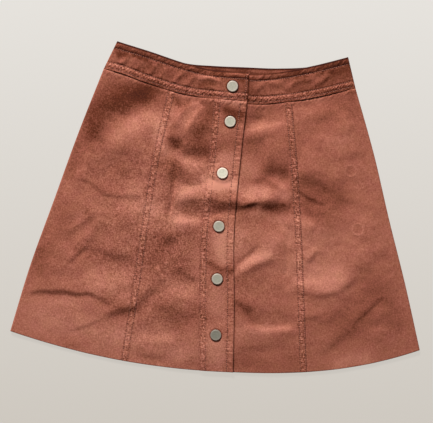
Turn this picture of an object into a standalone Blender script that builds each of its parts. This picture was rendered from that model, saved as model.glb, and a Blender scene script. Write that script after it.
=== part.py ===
"""A-line skirt with a snap front, lying on its back with the front uppermost.

Metres, +Z up, +Y from the hem to the waist, +X across the front.
The origin is in the middle of the skirt, on the surface that it lies on.
"""
import math
from collections import namedtuple

import bmesh
import bpy

# Cloth
CLOTH = 0.0012          # one layer of the panels
BAND = 0.0018           # the waistband, folded on itself
GAP = 0.0003            # clearance at seams and between layers
FOLD_RADIUS = 0.0023    # outside of the fold at each side
FOLD_TURNS = (35.0, 62.0, 88.0)     # degrees round the side fold, from the edge to the flat
FOLD_UPRIGHT = 0.0006   # height of the upright part of the fold, at its edge
FOLD_CLEAR = 0.0005     # more clearance at the waist seam, where it goes round the side folds

# Outline, seam lines and the line of the snaps, from the waist seam down to the hem
Section = namedtuple("Section", "down left left_seam placket_seam snaps edge right_seam right")
SECTIONS = (
    Section(0.00, -0.1820, -0.0868, -0.0200, 0.0090, 0.0285, 0.0932, 0.1845),
    Section(0.25, -0.2145, -0.1042, -0.0240, -0.0015, 0.0225, 0.1070, 0.2160),
    Section(0.50, -0.2440, -0.1150, -0.0290, -0.0030, 0.0195, 0.1180, 0.2430),
    Section(0.75, -0.2735, -0.1243, -0.0260, -0.0005, 0.0250, 0.1270, 0.2715),
    Section(1.00, -0.2975, -0.1348, -0.0210, 0.0020, 0.0285, 0.1355, 0.2975),
)

AT_SEAM = SECTIONS[0]

# Heights in Y of the waist seam and of the waistband's top edges, across the skirt
Waist = namedtuple("Waist", "across seam front_top back_top")
WAIST = (
    Waist(0.00, 0.1940, 0.2355, 0.2350),
    Waist(0.15, 0.1785, 0.2225, 0.2215),
    Waist(0.30, 0.1660, 0.2085, 0.2095),
    Waist(0.42, 0.1600, 0.2010, 0.2070),
    Waist(0.56, 0.1585, 0.1995, 0.2070),
    Waist(0.70, 0.1595, 0.2025, 0.2080),
    Waist(0.85, 0.1695, 0.2145, 0.2140),
    Waist(1.00, 0.1855, 0.2300, 0.2295),
)
MIDDLE = WAIST[4]
BAND_TOP_LEFT = -0.1645
BAND_TOP_RIGHT = 0.1715

# Hem
HEM_LOW = -0.2355           # Y of the hem at the middle
HEM_RISE_LEFT = 0.0430      # how much higher it is at each side
HEM_RISE_RIGHT = 0.0465
HEM_POWER_LEFT = 2.0        # how evenly it curves up to each side
HEM_POWER_RIGHT = 2.6
BACK_HEM_SHORT = 0.0010     # the back hem stops just inside the front one

# How finely the panels are divided
SIDE_FLAT = 0.0060          # from a side to where its panel's even columns start
EDGE_NEAR = 0.0020          # from the placket's edge to the first columns beside it
EDGE_FAR = 0.0160
SIDE_COLUMNS = 8
CENTRE_LEFT_COLUMNS = 6
CENTRE_RIGHT_COLUMNS = 5
BACK_COLUMNS = 22
FRONT_ROWS = 20
BACK_ROWS = 10
BAND_ROWS = 3

# How high the front layers lie over the back, above touching it
REST_LIFT = 0.0007
SIDE_LIFT = 2.0 * FOLD_RADIUS - 2.0 * CLOTH - GAP
SIDE_REACH = 0.030          # how far in from the sides the fold lifts the cloth
PLACKET_REACH = 0.028       # how far past the placket its stiffness flattens the cloth
WAIST_REACH = 0.12          # share of the length that the waist seam holds flat

# Largest soft folds of the front: a ridge from one point to another
Fold = namedtuple("Fold", "start end reach height")
FOLDS = (
    Fold((-0.235, -0.090), (-0.165, -0.110), 0.040, 0.0016),
    Fold((-0.160, -0.185), (-0.105, -0.150), 0.034, 0.0018),
    Fold((-0.150, 0.120), (-0.190, 0.020), 0.045, 0.0014),
    Fold((0.055, 0.045), (0.100, 0.030), 0.034, 0.0018),
    Fold((0.060, -0.060), (0.105, -0.035), 0.034, 0.0016),
    Fold((0.180, 0.090), (0.205, -0.030), 0.045, 0.0014),
    Fold((0.190, -0.150), (0.235, -0.100), 0.036, 0.0018),
    Fold((-0.065, 0.060), (-0.060, -0.040), 0.030, 0.0012),
)

# Placket
UNDERLAP_SHORT = 0.0055     # the underlap stops this far inside the placket's seam
STEP_RUN = 0.0045           # width of the step up onto the underlap
SNAP_FLAT = 0.0068          # half of the flat that each snap sits on
SNAP_ROUND = 0.0095         # half of the strip that its cap covers
MOUND_FLAT = 0.0098         # radius of the flat top of the cloth round a cap
MOUND_REACH = 0.0215        # radius at which the cloth is down again
MOUND_STEPS = (0.53, 0.75, 1.0)     # shares of that at which the cloth has points

# Snaps
WAIST_SNAP_X = 0.0051       # the waistband's snap, as X at the waist seam
WAIST_SNAP_UP = 0.478       # and as a share of the waistband's height
SNAPS_DOWN = (0.0800, 0.2705, 0.4660, 0.6590, 0.8645)   # the others, as shares of the panels' length
CAP_RADIUS = 0.0079
CAP_HEIGHT = 0.0018
CAP_RIM = 0.0006            # how far its rim is rounded
CAP_STEPS = 20
HIDDEN_STEPS = 12
BARREL_RADIUS = 0.0016
SOCKET_RADIUS = 0.0060
SOCKET_HEIGHT = 0.0018
SOCKET_LIP = 0.0006         # upper part of the socket, round the cap's barrel
STUD_RADIUS = 0.0055
STUD_FLANGE = 0.0007
KNOB_RADIUS = 0.0026
KNOB_HEIGHT = 0.0012
POST_RADIUS = 0.0045
POST_FLANGE = 0.0006
HOLE_DEPTH = 0.014          # of the cutters, from under the posts to over the waistband
HOLE_MIDDLE = 0.008
MOUND = STUD_FLANGE + SOCKET_HEIGHT + 2.0 * GAP     # how far a snap holds the placket up

# Along the placket the posts hold the under layers off the back
PLACKET_LIFT = POST_FLANGE + GAP
BAND_PLACKET_LIFT = 2.0 * (BAND + GAP - FOLD_RADIUS) + POST_FLANGE

# Finishes: colour, roughness, metallic
CLOTH_FINISH = ((0.32, 0.105, 0.068, 1.0), 0.85, 0.0)
CAP_FINISH = ((0.56, 0.56, 0.50, 1.0), 0.38, 1.0)
HIDDEN_METAL_FINISH = ((0.50, 0.50, 0.47, 1.0), 0.35, 1.0)


def clear_scene():
    for item in list(bpy.data.objects):
        bpy.data.objects.remove(item, do_unlink=True)


def new_collection(name):
    collection = bpy.data.collections.new(name)
    bpy.context.scene.collection.children.link(collection)
    return collection


def new_material(name, finish):
    colour, roughness, metallic = finish
    material = bpy.data.materials.new(name)
    material.use_nodes = True
    shader = material.node_tree.nodes["Principled BSDF"]
    shader.inputs["Base Color"].default_value = colour
    shader.inputs["Roughness"].default_value = roughness
    shader.inputs["Metallic"].default_value = metallic
    return material


def mix(first, second, share):
    return first + (second - first) * share


def ease(start, end, value):
    """0 before start, 1 after end, smooth between."""
    share = min(max((value - start) / (end - start), 0.0), 1.0)
    return share * share * (3.0 - 2.0 * share)


def read_curve(table, column, value):
    """A smooth curve through one column of a table whose first column rises."""
    last = len(table) - 2
    index = 0
    while index < last and table[index + 1][0] < value:
        index += 1
    low, high = table[index], table[index + 1]
    before = table[max(index - 1, 0)]
    after = table[min(index + 2, len(table) - 1)]
    span = high[0] - low[0]
    share = (value - low[0]) / span
    start, end = getattr(low, column), getattr(high, column)
    slope_in = (end - getattr(before, column)) / (high[0] - before[0]) * span
    slope_out = (getattr(after, column) - start) / (after[0] - low[0]) * span
    square = share * share
    cube = square * share
    return (start * (2.0 * cube - 3.0 * square + 1.0) + slope_in * (cube - 2.0 * square + share)
            + end * (3.0 * square - 2.0 * cube) + slope_out * (cube - square))


def line(column, shift=0.0):
    """X of a named line of the skirt at a share of the way down."""
    return lambda down: read_curve(SECTIONS, column, down) + shift


def between(first, second, share):
    """X of a line that runs at a share of the way between two others."""
    return lambda down: mix(first(down), second(down), share)


def hem_y(across):
    from_middle = 2.0 * across - 1.0
    if from_middle < 0.0:
        return HEM_LOW + HEM_RISE_LEFT * (-from_middle) ** HEM_POWER_LEFT
    return HEM_LOW + HEM_RISE_RIGHT * from_middle ** HEM_POWER_RIGHT


def panel_y(x, down):
    """Y of the point at X, a share of the way from the waist seam to the hem."""
    left = read_curve(SECTIONS, "left", down)
    right = read_curve(SECTIONS, "right", down)
    across = (x - left) / (right - left)
    return mix(read_curve(WAIST, "seam", across), hem_y(across), down)


def ridge(fold, x, y):
    """Height of one soft fold at a point."""
    run = (fold.end[0] - fold.start[0], fold.end[1] - fold.start[1])
    away = (x - fold.start[0], y - fold.start[1])
    share = (away[0] * run[0] + away[1] * run[1]) / (run[0] ** 2 + run[1] ** 2)
    share = min(max(share, 0.0), 1.0)
    distance = math.hypot(away[0] - run[0] * share, away[1] - run[1] * share)
    return fold.height * (1.0 - ease(0.0, fold.reach, distance))


def lift(x, down):
    """How far the front panels lie above touching the back."""
    y = panel_y(x, down)
    height = REST_LIFT + sum(ridge(fold, x, y) for fold in FOLDS)
    height = mix(PLACKET_LIFT, height, ease(0.0, WAIST_REACH, down))
    seam = read_curve(SECTIONS, "placket_seam", down)
    edge = read_curve(SECTIONS, "edge", down)
    outside = max(seam - x, x - edge, 0.0)
    height = mix(PLACKET_LIFT, height, ease(0.0, PLACKET_REACH, outside))
    left = read_curve(SECTIONS, "left", down) + FOLD_RADIUS
    right = read_curve(SECTIONS, "right", down) - FOLD_RADIUS
    inside = max(min(x - left, right - x), 0.0)
    return mix(SIDE_LIFT, height, ease(0.0, SIDE_REACH, inside))


def front_top(x, down):
    return 2.0 * CLOTH + GAP + lift(x, down)


def mound(x, y, centres):
    """How far the snaps hold the top layer off the underlap at a point."""
    nearest = min(math.hypot(x - centre[0], y - centre[1]) for centre in centres)
    return MOUND * (1.0 - ease(MOUND_FLAT, MOUND_REACH, nearest))


def snap_places():
    """The middle of each snap, the waistband's first: X, Y, and its cloth's thickness."""
    places = [(*band_point(WAIST_SNAP_X, WAIST_SNAP_UP, "front_top"), BAND)]
    for down in SNAPS_DOWN:
        x = read_curve(SECTIONS, "snaps", down)
        places.append((x, panel_y(x, down), CLOTH))
    return places


def band_point(x_at_seam, up, top_column):
    """X and Y of a point of the waistband, a share of the way up from its seam."""
    across = (x_at_seam - AT_SEAM.left) / (AT_SEAM.right - AT_SEAM.left)
    x = mix(x_at_seam, mix(BAND_TOP_LEFT, BAND_TOP_RIGHT, across), up)
    y = mix(read_curve(WAIST, "seam", across), read_curve(WAIST, top_column, across), up)
    return x, y


def band_lift(x_at_seam):
    """How far the front waistband lies above its place over the back one."""
    outside = max(AT_SEAM.placket_seam - x_at_seam, x_at_seam - AT_SEAM.edge, 0.0)
    return BAND_PLACKET_LIFT * (1.0 - ease(0.0, PLACKET_REACH, outside))


def step_up(x, seam, rise):
    """The step of a top layer from beside the underlap up onto it."""
    return rise * ease(0.0, STEP_RUN, x - seam)


def fold_columns(side):
    """X shift and height over the fold's middle of the columns round a side, outermost first."""
    columns = [(0.0, 0.5 * GAP), (0.0, FOLD_UPRIGHT)]
    for degrees in FOLD_TURNS:
        turn = math.radians(degrees)
        columns.append((side * FOLD_RADIUS * (1.0 - math.cos(turn)), FOLD_RADIUS * math.sin(turn)))
    return columns


def cloth_solid(name, columns, rows, place, thickness, collection, underside=False):
    """A sheet of columns by rows of points, thickened away from its outer face."""
    mesh = bmesh.new()
    bmesh.ops.create_grid(mesh, x_segments=len(columns) - 1, y_segments=len(rows) - 1, size=1.0)
    for vertex in mesh.verts:
        column = columns[round((vertex.co.x + 1.0) / 2.0 * (len(columns) - 1))]
        row = rows[round((vertex.co.y + 1.0) / 2.0 * (len(rows) - 1))]
        vertex.co = place(column, row)
    if underside:
        bmesh.ops.reverse_faces(mesh, faces=mesh.faces[:])
    data = bpy.data.meshes.new(name)
    mesh.to_mesh(data)
    mesh.free()
    data.materials.append(new_material(name + "_cloth", CLOTH_FINISH))
    item = bpy.data.objects.new(name, data)
    collection.objects.link(item)
    shell = item.modifiers.new("Thickness", "SOLIDIFY")
    shell.thickness = thickness
    shell.offset = -1.0
    shell.use_even_offset = True
    return item


def spread(first, last, count):
    """Evenly spaced values from first to last."""
    return [mix(first, last, index / count) for index in range(count + 1)]


def flat_columns(first, last, count):
    """Columns of a flat stretch: the X line of each, with no place on a fold."""
    return [(between(first, last, share), None) for share in spread(0.0, 1.0, count)]


def side_columns(column, side):
    """The columns round the fold at one side of the skirt."""
    return [(line(column, shift), rise) for shift, rise in fold_columns(side)]


def fold_height(rise, upper):
    """Height of the outer face round the side fold, on the front or on the back."""
    return FOLD_RADIUS + rise if upper else FOLD_RADIUS - rise


def panel_place(column, down, upper, short=0.0):
    """A point of a front panel's upper face, or of the back panel's lower face."""
    x_line, rise = column
    x = x_line(down)
    y = panel_y(x, down)
    y += short * down - 0.5 * GAP * (1.0 - down)
    if rise is not None:
        return x, y, fold_height(rise, upper)
    return x, y, front_top(x, down) if upper else 0.0


def back_columns():
    inner_left = line("left", FOLD_RADIUS * 2.0)
    inner_right = line("right", -FOLD_RADIUS * 2.0)
    columns = side_columns("left", 1.0) + flat_columns(inner_left, inner_right, BACK_COLUMNS)
    return columns + side_columns("right", -1.0)[::-1]


def side_left_columns():
    flat = flat_columns(line("left", SIDE_FLAT), line("left_seam", -0.5 * GAP), SIDE_COLUMNS)
    return side_columns("left", 1.0) + flat


def centre_left_columns():
    first, last = line("left_seam", 0.5 * GAP), line("placket_seam", -0.5 * GAP)
    return flat_columns(first, last, CENTRE_LEFT_COLUMNS)


def placket_columns():
    step = line("placket_seam", STEP_RUN)
    near, far = line("snaps", -SNAP_ROUND), line("snaps", SNAP_ROUND)
    columns = [(line("placket_seam", 0.5 * GAP), None)]
    columns += flat_columns(step, near, 2)
    columns += flat_columns(line("snaps", -SNAP_FLAT), line("snaps", SNAP_FLAT), 2)
    return columns + flat_columns(far, line("edge"), 2)


def centre_right_columns():
    columns = flat_columns(line("placket_seam", UNDERLAP_SHORT), line("snaps", -SNAP_FLAT), 1)
    columns += flat_columns(line("snaps", SNAP_FLAT), line("edge", EDGE_NEAR), 2)
    first, last = line("edge", EDGE_FAR), line("right_seam", -0.5 * GAP)
    return columns + flat_columns(first, last, CENTRE_RIGHT_COLUMNS)


def side_right_columns():
    flat = flat_columns(line("right_seam", 0.5 * GAP), line("right", -SIDE_FLAT), SIDE_COLUMNS)
    return flat + side_columns("right", -1.0)[::-1]


def build_back(collection):

    def place(column, down):
        return panel_place(column, down, upper=False, short=BACK_HEM_SHORT)

    rows = spread(1.0, 0.0, BACK_ROWS)
    cloth_solid("back_panel", back_columns(), rows, place, CLOTH, collection, underside=True)


def build_front_panels(collection):
    rows = spread(1.0, 0.0, FRONT_ROWS)

    def place(column, down):
        return panel_place(column, down, upper=True)

    cloth_solid("front_side_left", side_left_columns(), rows, place, CLOTH, collection)
    cloth_solid("front_centre_left", centre_left_columns(), rows, place, CLOTH, collection)
    cloth_solid("front_side_right", side_right_columns(), rows, place, CLOTH, collection)
    return cloth_solid("front_centre_right", centre_right_columns(), rows, place, CLOTH, collection)


def mound_offsets():
    """Distances from a snap's middle at which the top layer has points."""
    outward = [SNAP_FLAT] + [step * MOUND_REACH for step in MOUND_STEPS]
    return [-offset for offset in reversed(outward)] + [0.0] + outward


def placket_rows():
    """Shares of the way down at which the placket has points, hem first."""
    length = MIDDLE.seam - HEM_LOW
    rows = {0.0, 1.0}
    for down in SNAPS_DOWN:
        rows.update(down + offset / length for offset in mound_offsets())
    for upper, lower in zip(SNAPS_DOWN, SNAPS_DOWN[1:]):
        rows.add(0.5 * (upper + lower))
    rows.add(0.5 * (SNAPS_DOWN[-1] + MOUND_REACH / length + 1.0))
    return sorted((row for row in rows if 0.0 <= row <= 1.0), reverse=True)


def build_placket(places, collection):
    centres = [place[:2] for place in places[1:]]

    def place(column, down):
        x, y, z = panel_place(column, down, upper=True)
        rise = step_up(x, read_curve(SECTIONS, "placket_seam", down), CLOTH + GAP)
        return x, y, z + rise + mound(x, y, centres)

    return cloth_solid("placket", placket_columns(), placket_rows(), place, CLOTH, collection)


def at_waist(columns):
    """The columns of a waistband that carry on the columns of a panel below it."""
    return [(x_line(0.0), rise) for x_line, rise in columns]


def band_place(column, up, top_column, upper, top_layer=False, centres=()):
    """A point of a waistband's outer face."""
    x_at_seam, rise = column
    x, y = band_point(x_at_seam, up, top_column)
    y += 0.5 * GAP * (1.0 - up)
    if rise is not None:
        return x, y + FOLD_CLEAR * (1.0 - up), fold_height(rise, upper)
    if not upper:
        return x, y, 0.0
    z = 2.0 * FOLD_RADIUS + band_lift(x_at_seam)
    if top_layer:
        z += step_up(x_at_seam, AT_SEAM.placket_seam, BAND + GAP)
        z += mound(x, y, centres)
    return x, y, z


def build_waistband(places, collection):
    plain_rows = spread(0.0, 1.0, BAND_ROWS)

    def back_place(column, up):
        return band_place(column, up, "back_top", upper=False)

    cloth_solid("waistband_back", at_waist(back_columns()), plain_rows, back_place, BAND, collection,
                underside=True)

    def under_place(column, up):
        return band_place(column, up, "front_top", upper=True)

    columns = at_waist(centre_right_columns()[:-1] + side_right_columns())
    under = cloth_solid("waistband_front_right", columns, plain_rows, under_place, BAND, collection)

    def top_place(column, up):
        return band_place(column, up, "front_top", True, True, [places[0][:2]])

    height = MIDDLE.front_top - MIDDLE.seam
    rows = [WAIST_SNAP_UP + offset / height for offset in mound_offsets()]
    rows[0], rows[-1] = 0.0, 1.0
    columns = at_waist(side_left_columns()[:-1] + centre_left_columns()[:-1] + placket_columns())
    top = cloth_solid("waistband_front_left", columns, rows, top_place, BAND, collection)
    return top, under


def cut_snap_holes(cloths, places, collection):
    """Holes through both layers of the closing, round the barrels of the snaps."""
    mesh = bmesh.new()
    for x, y, _ in places:
        made = bmesh.ops.create_cone(
            mesh, cap_ends=True, segments=HIDDEN_STEPS, depth=HOLE_DEPTH,
            radius1=BARREL_RADIUS + GAP, radius2=BARREL_RADIUS + GAP)
        bmesh.ops.translate(mesh, verts=made["verts"], vec=(x, y, HOLE_MIDDLE))
    data = bpy.data.meshes.new("snap_holes")
    mesh.to_mesh(data)
    mesh.free()
    cutter = bpy.data.objects.new("snap_holes", data)
    cutter.hide_render = True
    cutter.display_type = "WIRE"
    collection.objects.link(cutter)
    for cloth in cloths:
        cut = cloth.modifiers.new("Snap holes", "BOOLEAN")
        cut.operation = "DIFFERENCE"
        cut.object = cutter


def turned_mesh(name, profile, closed, material):
    """The half outline of a turned piece, at +X, down its outer side."""
    mesh = bmesh.new()
    points = [mesh.verts.new((radius, 0.0, height)) for radius, height in profile]
    for first, second in zip(points, points[1:]):
        mesh.edges.new((first, second))
    if closed:
        mesh.edges.new((points[-1], points[0]))
    data = bpy.data.meshes.new(name)
    mesh.to_mesh(data)
    mesh.free()
    data.materials.append(material)
    return data


def turned_piece(name, data, steps, parent, height, collection):
    item = bpy.data.objects.new(name, data)
    item.parent = parent
    item.location = (0.0, 0.0, height)
    collection.objects.link(item)
    turn = item.modifiers.new("Turn", "SCREW")
    turn.steps = steps
    turn.render_steps = steps
    turn.merge_threshold = 0.00001
    turn.use_merge_vertices = True
    turn.use_smooth_shade = True
    return item


def cap_profile(cloth):
    """A flat cap with a rounded rim, over the barrel that goes through the cloth."""
    top, rim = CAP_HEIGHT, CAP_RIM
    barrel_end = -(cloth + 2.0 * GAP + 0.5 * SOCKET_LIP)
    return ((0.0, top), (CAP_RADIUS - 2.0 * rim, top), (CAP_RADIUS - 0.5 * rim, top - 0.4 * rim),
            (CAP_RADIUS, top - rim), (CAP_RADIUS, 0.3 * rim), (CAP_RADIUS - 0.5 * rim, 0.0),
            (BARREL_RADIUS, 0.0), (BARREL_RADIUS, barrel_end), (0.0, barrel_end))


def socket_profile():
    """A ring with a narrow bore for the cap's barrel over a wide one for the stud's knob."""
    wide = KNOB_RADIUS + GAP
    narrow = BARREL_RADIUS + GAP
    top, lip = SOCKET_HEIGHT, SOCKET_HEIGHT - SOCKET_LIP
    return ((narrow, top), (0.8 * SOCKET_RADIUS, top), (SOCKET_RADIUS, 0.5 * top),
            (SOCKET_RADIUS, 0.0), (wide, 0.0), (wide, lip), (narrow, lip))


def stud_profile():
    """A flange with a round knob, hollow below for the post's barrel."""
    bore = BARREL_RADIUS + GAP
    top = STUD_FLANGE + KNOB_HEIGHT
    return ((0.0, top), (0.8 * KNOB_RADIUS, top), (KNOB_RADIUS, top - GAP),
            (KNOB_RADIUS, STUD_FLANGE), (STUD_RADIUS, STUD_FLANGE), (STUD_RADIUS, 0.0),
            (bore, 0.0), (bore, STUD_FLANGE), (0.0, STUD_FLANGE))


def post_profile(cloth):
    """A flange under the cloth with a barrel up through it into the stud."""
    top = POST_FLANGE + cloth + 2.0 * GAP + 0.5 * STUD_FLANGE
    return ((0.0, top), (BARREL_RADIUS, top), (BARREL_RADIUS, POST_FLANGE),
            (POST_RADIUS, POST_FLANGE), (POST_RADIUS, 0.0), (0.0, 0.0))


def build_snaps(places, collection):
    cap_metal = new_material("snap_cap_metal", CAP_FINISH)
    hidden_metal = new_material("snap_back_metal", HIDDEN_METAL_FINISH)
    socket = turned_mesh("snap_socket", socket_profile(), True, hidden_metal)
    stud = turned_mesh("snap_stud", stud_profile(), False, hidden_metal)
    caps = {}
    posts = {}
    for cloth in (BAND, CLOTH):
        caps[cloth] = turned_mesh("snap_cap", cap_profile(cloth), False, cap_metal)
        posts[cloth] = turned_mesh("snap_post", post_profile(cloth), False, hidden_metal)
    for number, (x, y, cloth) in enumerate(places, start=1):
        middle = bpy.data.objects.new(f"snap_{number}", None)
        middle.location = (x, y, cloth + GAP)
        collection.objects.link(middle)
        stud_height = POST_FLANGE + cloth + 2.0 * GAP
        socket_height = stud_height + STUD_FLANGE + GAP
        cap_height = socket_height + SOCKET_HEIGHT + cloth + 2.0 * GAP
        turned_piece(f"snap_post_{number}", posts[cloth], HIDDEN_STEPS, middle, 0.0, collection)
        turned_piece(f"snap_stud_{number}", stud, HIDDEN_STEPS, middle, stud_height, collection)
        turned_piece(f"snap_socket_{number}", socket, HIDDEN_STEPS, middle, socket_height, collection)
        turned_piece(f"snap_cap_{number}", caps[cloth], CAP_STEPS, middle, cap_height, collection)


def build():
    clear_scene()
    skirt = new_collection("a_line_skirt")
    cutters = new_collection("cutters")
    places = snap_places()
    build_back(skirt)
    underlap = build_front_panels(skirt)
    placket = build_placket(places, skirt)
    top_band, under_band = build_waistband(places, skirt)
    cut_snap_holes((underlap, placket, top_band, under_band), places, cutters)
    build_snaps(places, skirt)


build()
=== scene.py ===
"""An a-line skirt with a snap front, laid flat: its cloth, stitching and snaps, with light and a camera.

Metres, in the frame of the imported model: +X across the front, +Y from the hem to the waist, +Z up.
"""
import math
from collections import namedtuple

import bpy
import numpy as np
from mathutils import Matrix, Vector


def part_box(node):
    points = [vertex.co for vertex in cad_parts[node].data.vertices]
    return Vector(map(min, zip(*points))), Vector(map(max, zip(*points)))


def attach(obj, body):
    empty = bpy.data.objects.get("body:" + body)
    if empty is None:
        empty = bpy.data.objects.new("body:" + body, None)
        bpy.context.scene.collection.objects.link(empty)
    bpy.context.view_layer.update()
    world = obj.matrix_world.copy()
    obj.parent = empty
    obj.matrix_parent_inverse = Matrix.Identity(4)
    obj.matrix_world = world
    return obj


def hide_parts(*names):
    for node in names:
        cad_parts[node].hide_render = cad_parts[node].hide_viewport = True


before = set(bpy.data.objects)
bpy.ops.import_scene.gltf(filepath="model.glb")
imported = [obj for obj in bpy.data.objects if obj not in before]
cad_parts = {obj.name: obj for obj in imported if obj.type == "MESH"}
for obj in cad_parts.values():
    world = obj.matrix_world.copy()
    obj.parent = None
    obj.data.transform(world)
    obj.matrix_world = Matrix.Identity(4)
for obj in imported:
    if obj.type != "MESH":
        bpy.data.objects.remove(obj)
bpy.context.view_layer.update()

# ---- Pattern of the skirt, as the CAD model has it, but for two millimetres at the waist seam ----

# Outline, seams and edge of the opening: X at shares of the way down
DOWN, LEFT, LEFT_SEAM, PLACKET_SEAM, EDGE, RIGHT_SEAM, RIGHT = range(7)
SECTIONS = np.array((
    (0.00, -0.1820, -0.0868, -0.0200, 0.0285, 0.0932, 0.1845),
    (0.25, -0.2145, -0.1042, -0.0240, 0.0225, 0.1070, 0.2160),
    (0.50, -0.2440, -0.1150, -0.0290, 0.0195, 0.1180, 0.2430),
    (0.75, -0.2735, -0.1243, -0.0260, 0.0250, 0.1270, 0.2715),
    (1.00, -0.2975, -0.1348, -0.0210, 0.0285, 0.1355, 0.2975),
))
AT_WAIST = SECTIONS[0]

# Y of the waist seam and of the waistband's top edges: at shares of the way across
ACROSS, SEAM, FRONT_TOP, BACK_TOP = range(4)
WAIST = np.array((
    (0.00, 0.1945, 0.2355, 0.2350),
    (0.08, 0.1880, 0.2286, 0.2278),
    (0.15, 0.1796, 0.2225, 0.2215),
    (0.30, 0.1652, 0.2085, 0.2090),
    (0.42, 0.1598, 0.2010, 0.2073),
    (0.56, 0.1585, 0.1995, 0.2077),
    (0.70, 0.1588, 0.2025, 0.2085),
    (0.85, 0.1695, 0.2145, 0.2140),
    (1.00, 0.1855, 0.2300, 0.2295),
))
BAND_TOP_LEFT, BAND_TOP_RIGHT = -0.1645, 0.1715
LENGTH = 0.394              # of the panels, waist seam to hem

# Y of the hem: in its middle, how far it rises to both sides, and how late
HEM_LOW = -0.2355
HEM_RISE_LEFT, HEM_RISE_RIGHT = 0.0430, 0.0465
HEM_POWER_LEFT, HEM_POWER_RIGHT = 2.0, 2.6
BACK_HEM_SHORT = 0.0010

# ---- Layers ----

GAP = 0.0003                # between layers
SEAM_HALF = 0.00003         # half the gap between pieces that are sewn edge to edge
SEAM_ROUND = 0.0002         # how far their edges are rounded
FREE_ROUND = 0.0008         # how far a free edge is rounded
HEM_ROUND = 0.0009
BAND_ROUND = 0.0010         # at the waistband's top edge
BAND_END_ROUND = 0.0009     # and at its ends, in the opening
CLOTH = 0.0012
BACK_BAND = 0.0018
FRONT_BAND = 0.0019
BAND_HEIGHT = 0.042
PLACKET = 0.0014
HEM = 0.0018                # the turned-up hem, folded on itself
HEM_DEPTH = 0.028
FOLD_RADIUS = 0.0023        # outside of the fold at each side
FOLD_SHIFT = 0.00012        # of that fold up for the front, and down for the back
SEAM_LEVEL = 0.0036         # upper face of the front panels at the waist seam and beside the snaps
OPEN_LEVEL = 0.0064         # and in the middle of the panels
HEM_LEVEL = 0.0038          # and at the hem
LOWEST = 0.0028             # the deepest that a crease goes below those levels
PLACKET_STEP = 0.0018       # from the underlap up to the placket's face
PLACKET_ROLL = 0.0009       # how far the placket's free edge rolls up
BAND_STEP = 0.0023          # from the right waistband up to the left one's face
BAND_LIFT = 0.0002          # of the waistband over the folds at its sides
BAND_LOWEST = -0.0006       # the deepest that a wrinkle goes into it
PUFF = 0.0024               # how far the closing bulges between the snaps
SNAP_FLAT, SNAP_REACH = 0.0098, 0.0240  # round a snap: flat cloth, and where its pull ends
FOLDS_STOP = 0.0190         # from a snap, where it starts to flatten the folds
SEAM_LIFT = 0.0011          # how far the closing rises to meet the waistband
CLOSING_BLEND = 0.028       # how far beside the closing the cloth has risen to the open level
UNDERLAP_SHORT = 0.0055
SLIP_SEAM, SLIP_TOP = 0.0045, 0.0015    # how far the right front hangs down beside the opening
SLIP_REACH = 0.055
OPEN_BY, HEM_FROM = 0.12, 0.76          # shares of the way down: risen to OPEN_LEVEL, sinking to HEM_LEVEL
SIDE_RISE = (0.003, 0.030)              # from the fold at a side, where the front rises to its level
SIDE_FOLDS = (0.003, 0.020)             # and where its folds begin
TOP_FOLDS, TOP_FADE = 0.5, 0.07         # how strong they are at the waist seam, and by where fully so
STRIP_WEAKER, HEM_FOLDS = 0.25, 0.4     # how much weaker in the closing, and how strong at the hem

# ---- Sewing: distances from a seam or edge to its rows of stitches, and how they shape the cloth ----

PRINCESS_LEFT_ROWS = (0.0012, 0.0088)
PRINCESS_RIGHT_ROWS = (0.0014, 0.0092)
PLACKET_ROWS = (0.0018, 0.0095)
PLACKET_EDGE_ROW = 0.0096
BAND_LOW_ROWS = (0.0032, 0.0108)
BAND_TOP_ROW = 0.0098
BAND_END_ROW = 0.0030
BAND_RIDGE = 0.0072         # middle of the ridge between the waistband's low rows
BAND_TOP_RIDGE = 0.0034     # and of the one over its top row
STITCH_PITCH = 0.0031
STITCH_LENGTH = 0.0024
GATHER_PITCH = 0.0047       # of the slanting gathers over the waist seam
CROWD_PITCH = 0.0043        # of the small folds where the main fold crowds the placket's seam
THREAD = 0.00054
THREAD_RISE = 0.2 * THREAD  # of a stitch's middle over the cloth
NEEDLE_HOLE = 0.00068       # radius of the dent where the thread goes in
ROW_DEEP, ROW_WIDE = 0.00024, 0.0010    # the valley along a row of stitches
BAND_ROW_WIDE = 0.0012      # and along the waistband's deeper ones
WAIST_LIP = 0.0004          # up and then down, where a panel meets the waistband
WELT_HIGH = 0.00048         # of the strip that the allowances raise beside a princess seam
PUCKER_EVEN, PUCKER_FINE, PUCKER_COARSE = 0.00009, 0.00030, 0.00033     # heights of small gathers
CROWD_HIGH, CROWD_Y = 0.00017, 0.003    # height and middle of those small folds

# ---- Folds of the front, in millimetres, along curves that run from left to right ----

MM = 0.001


def rows_of(kind, units, rows):
    """Named rows of a table: its numbers, each times its unit, and then its points in metres."""
    return [kind(*(number * unit for number, unit in zip(row, units)), MM * np.array(row[len(units):]))
            for row in rows]


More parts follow.
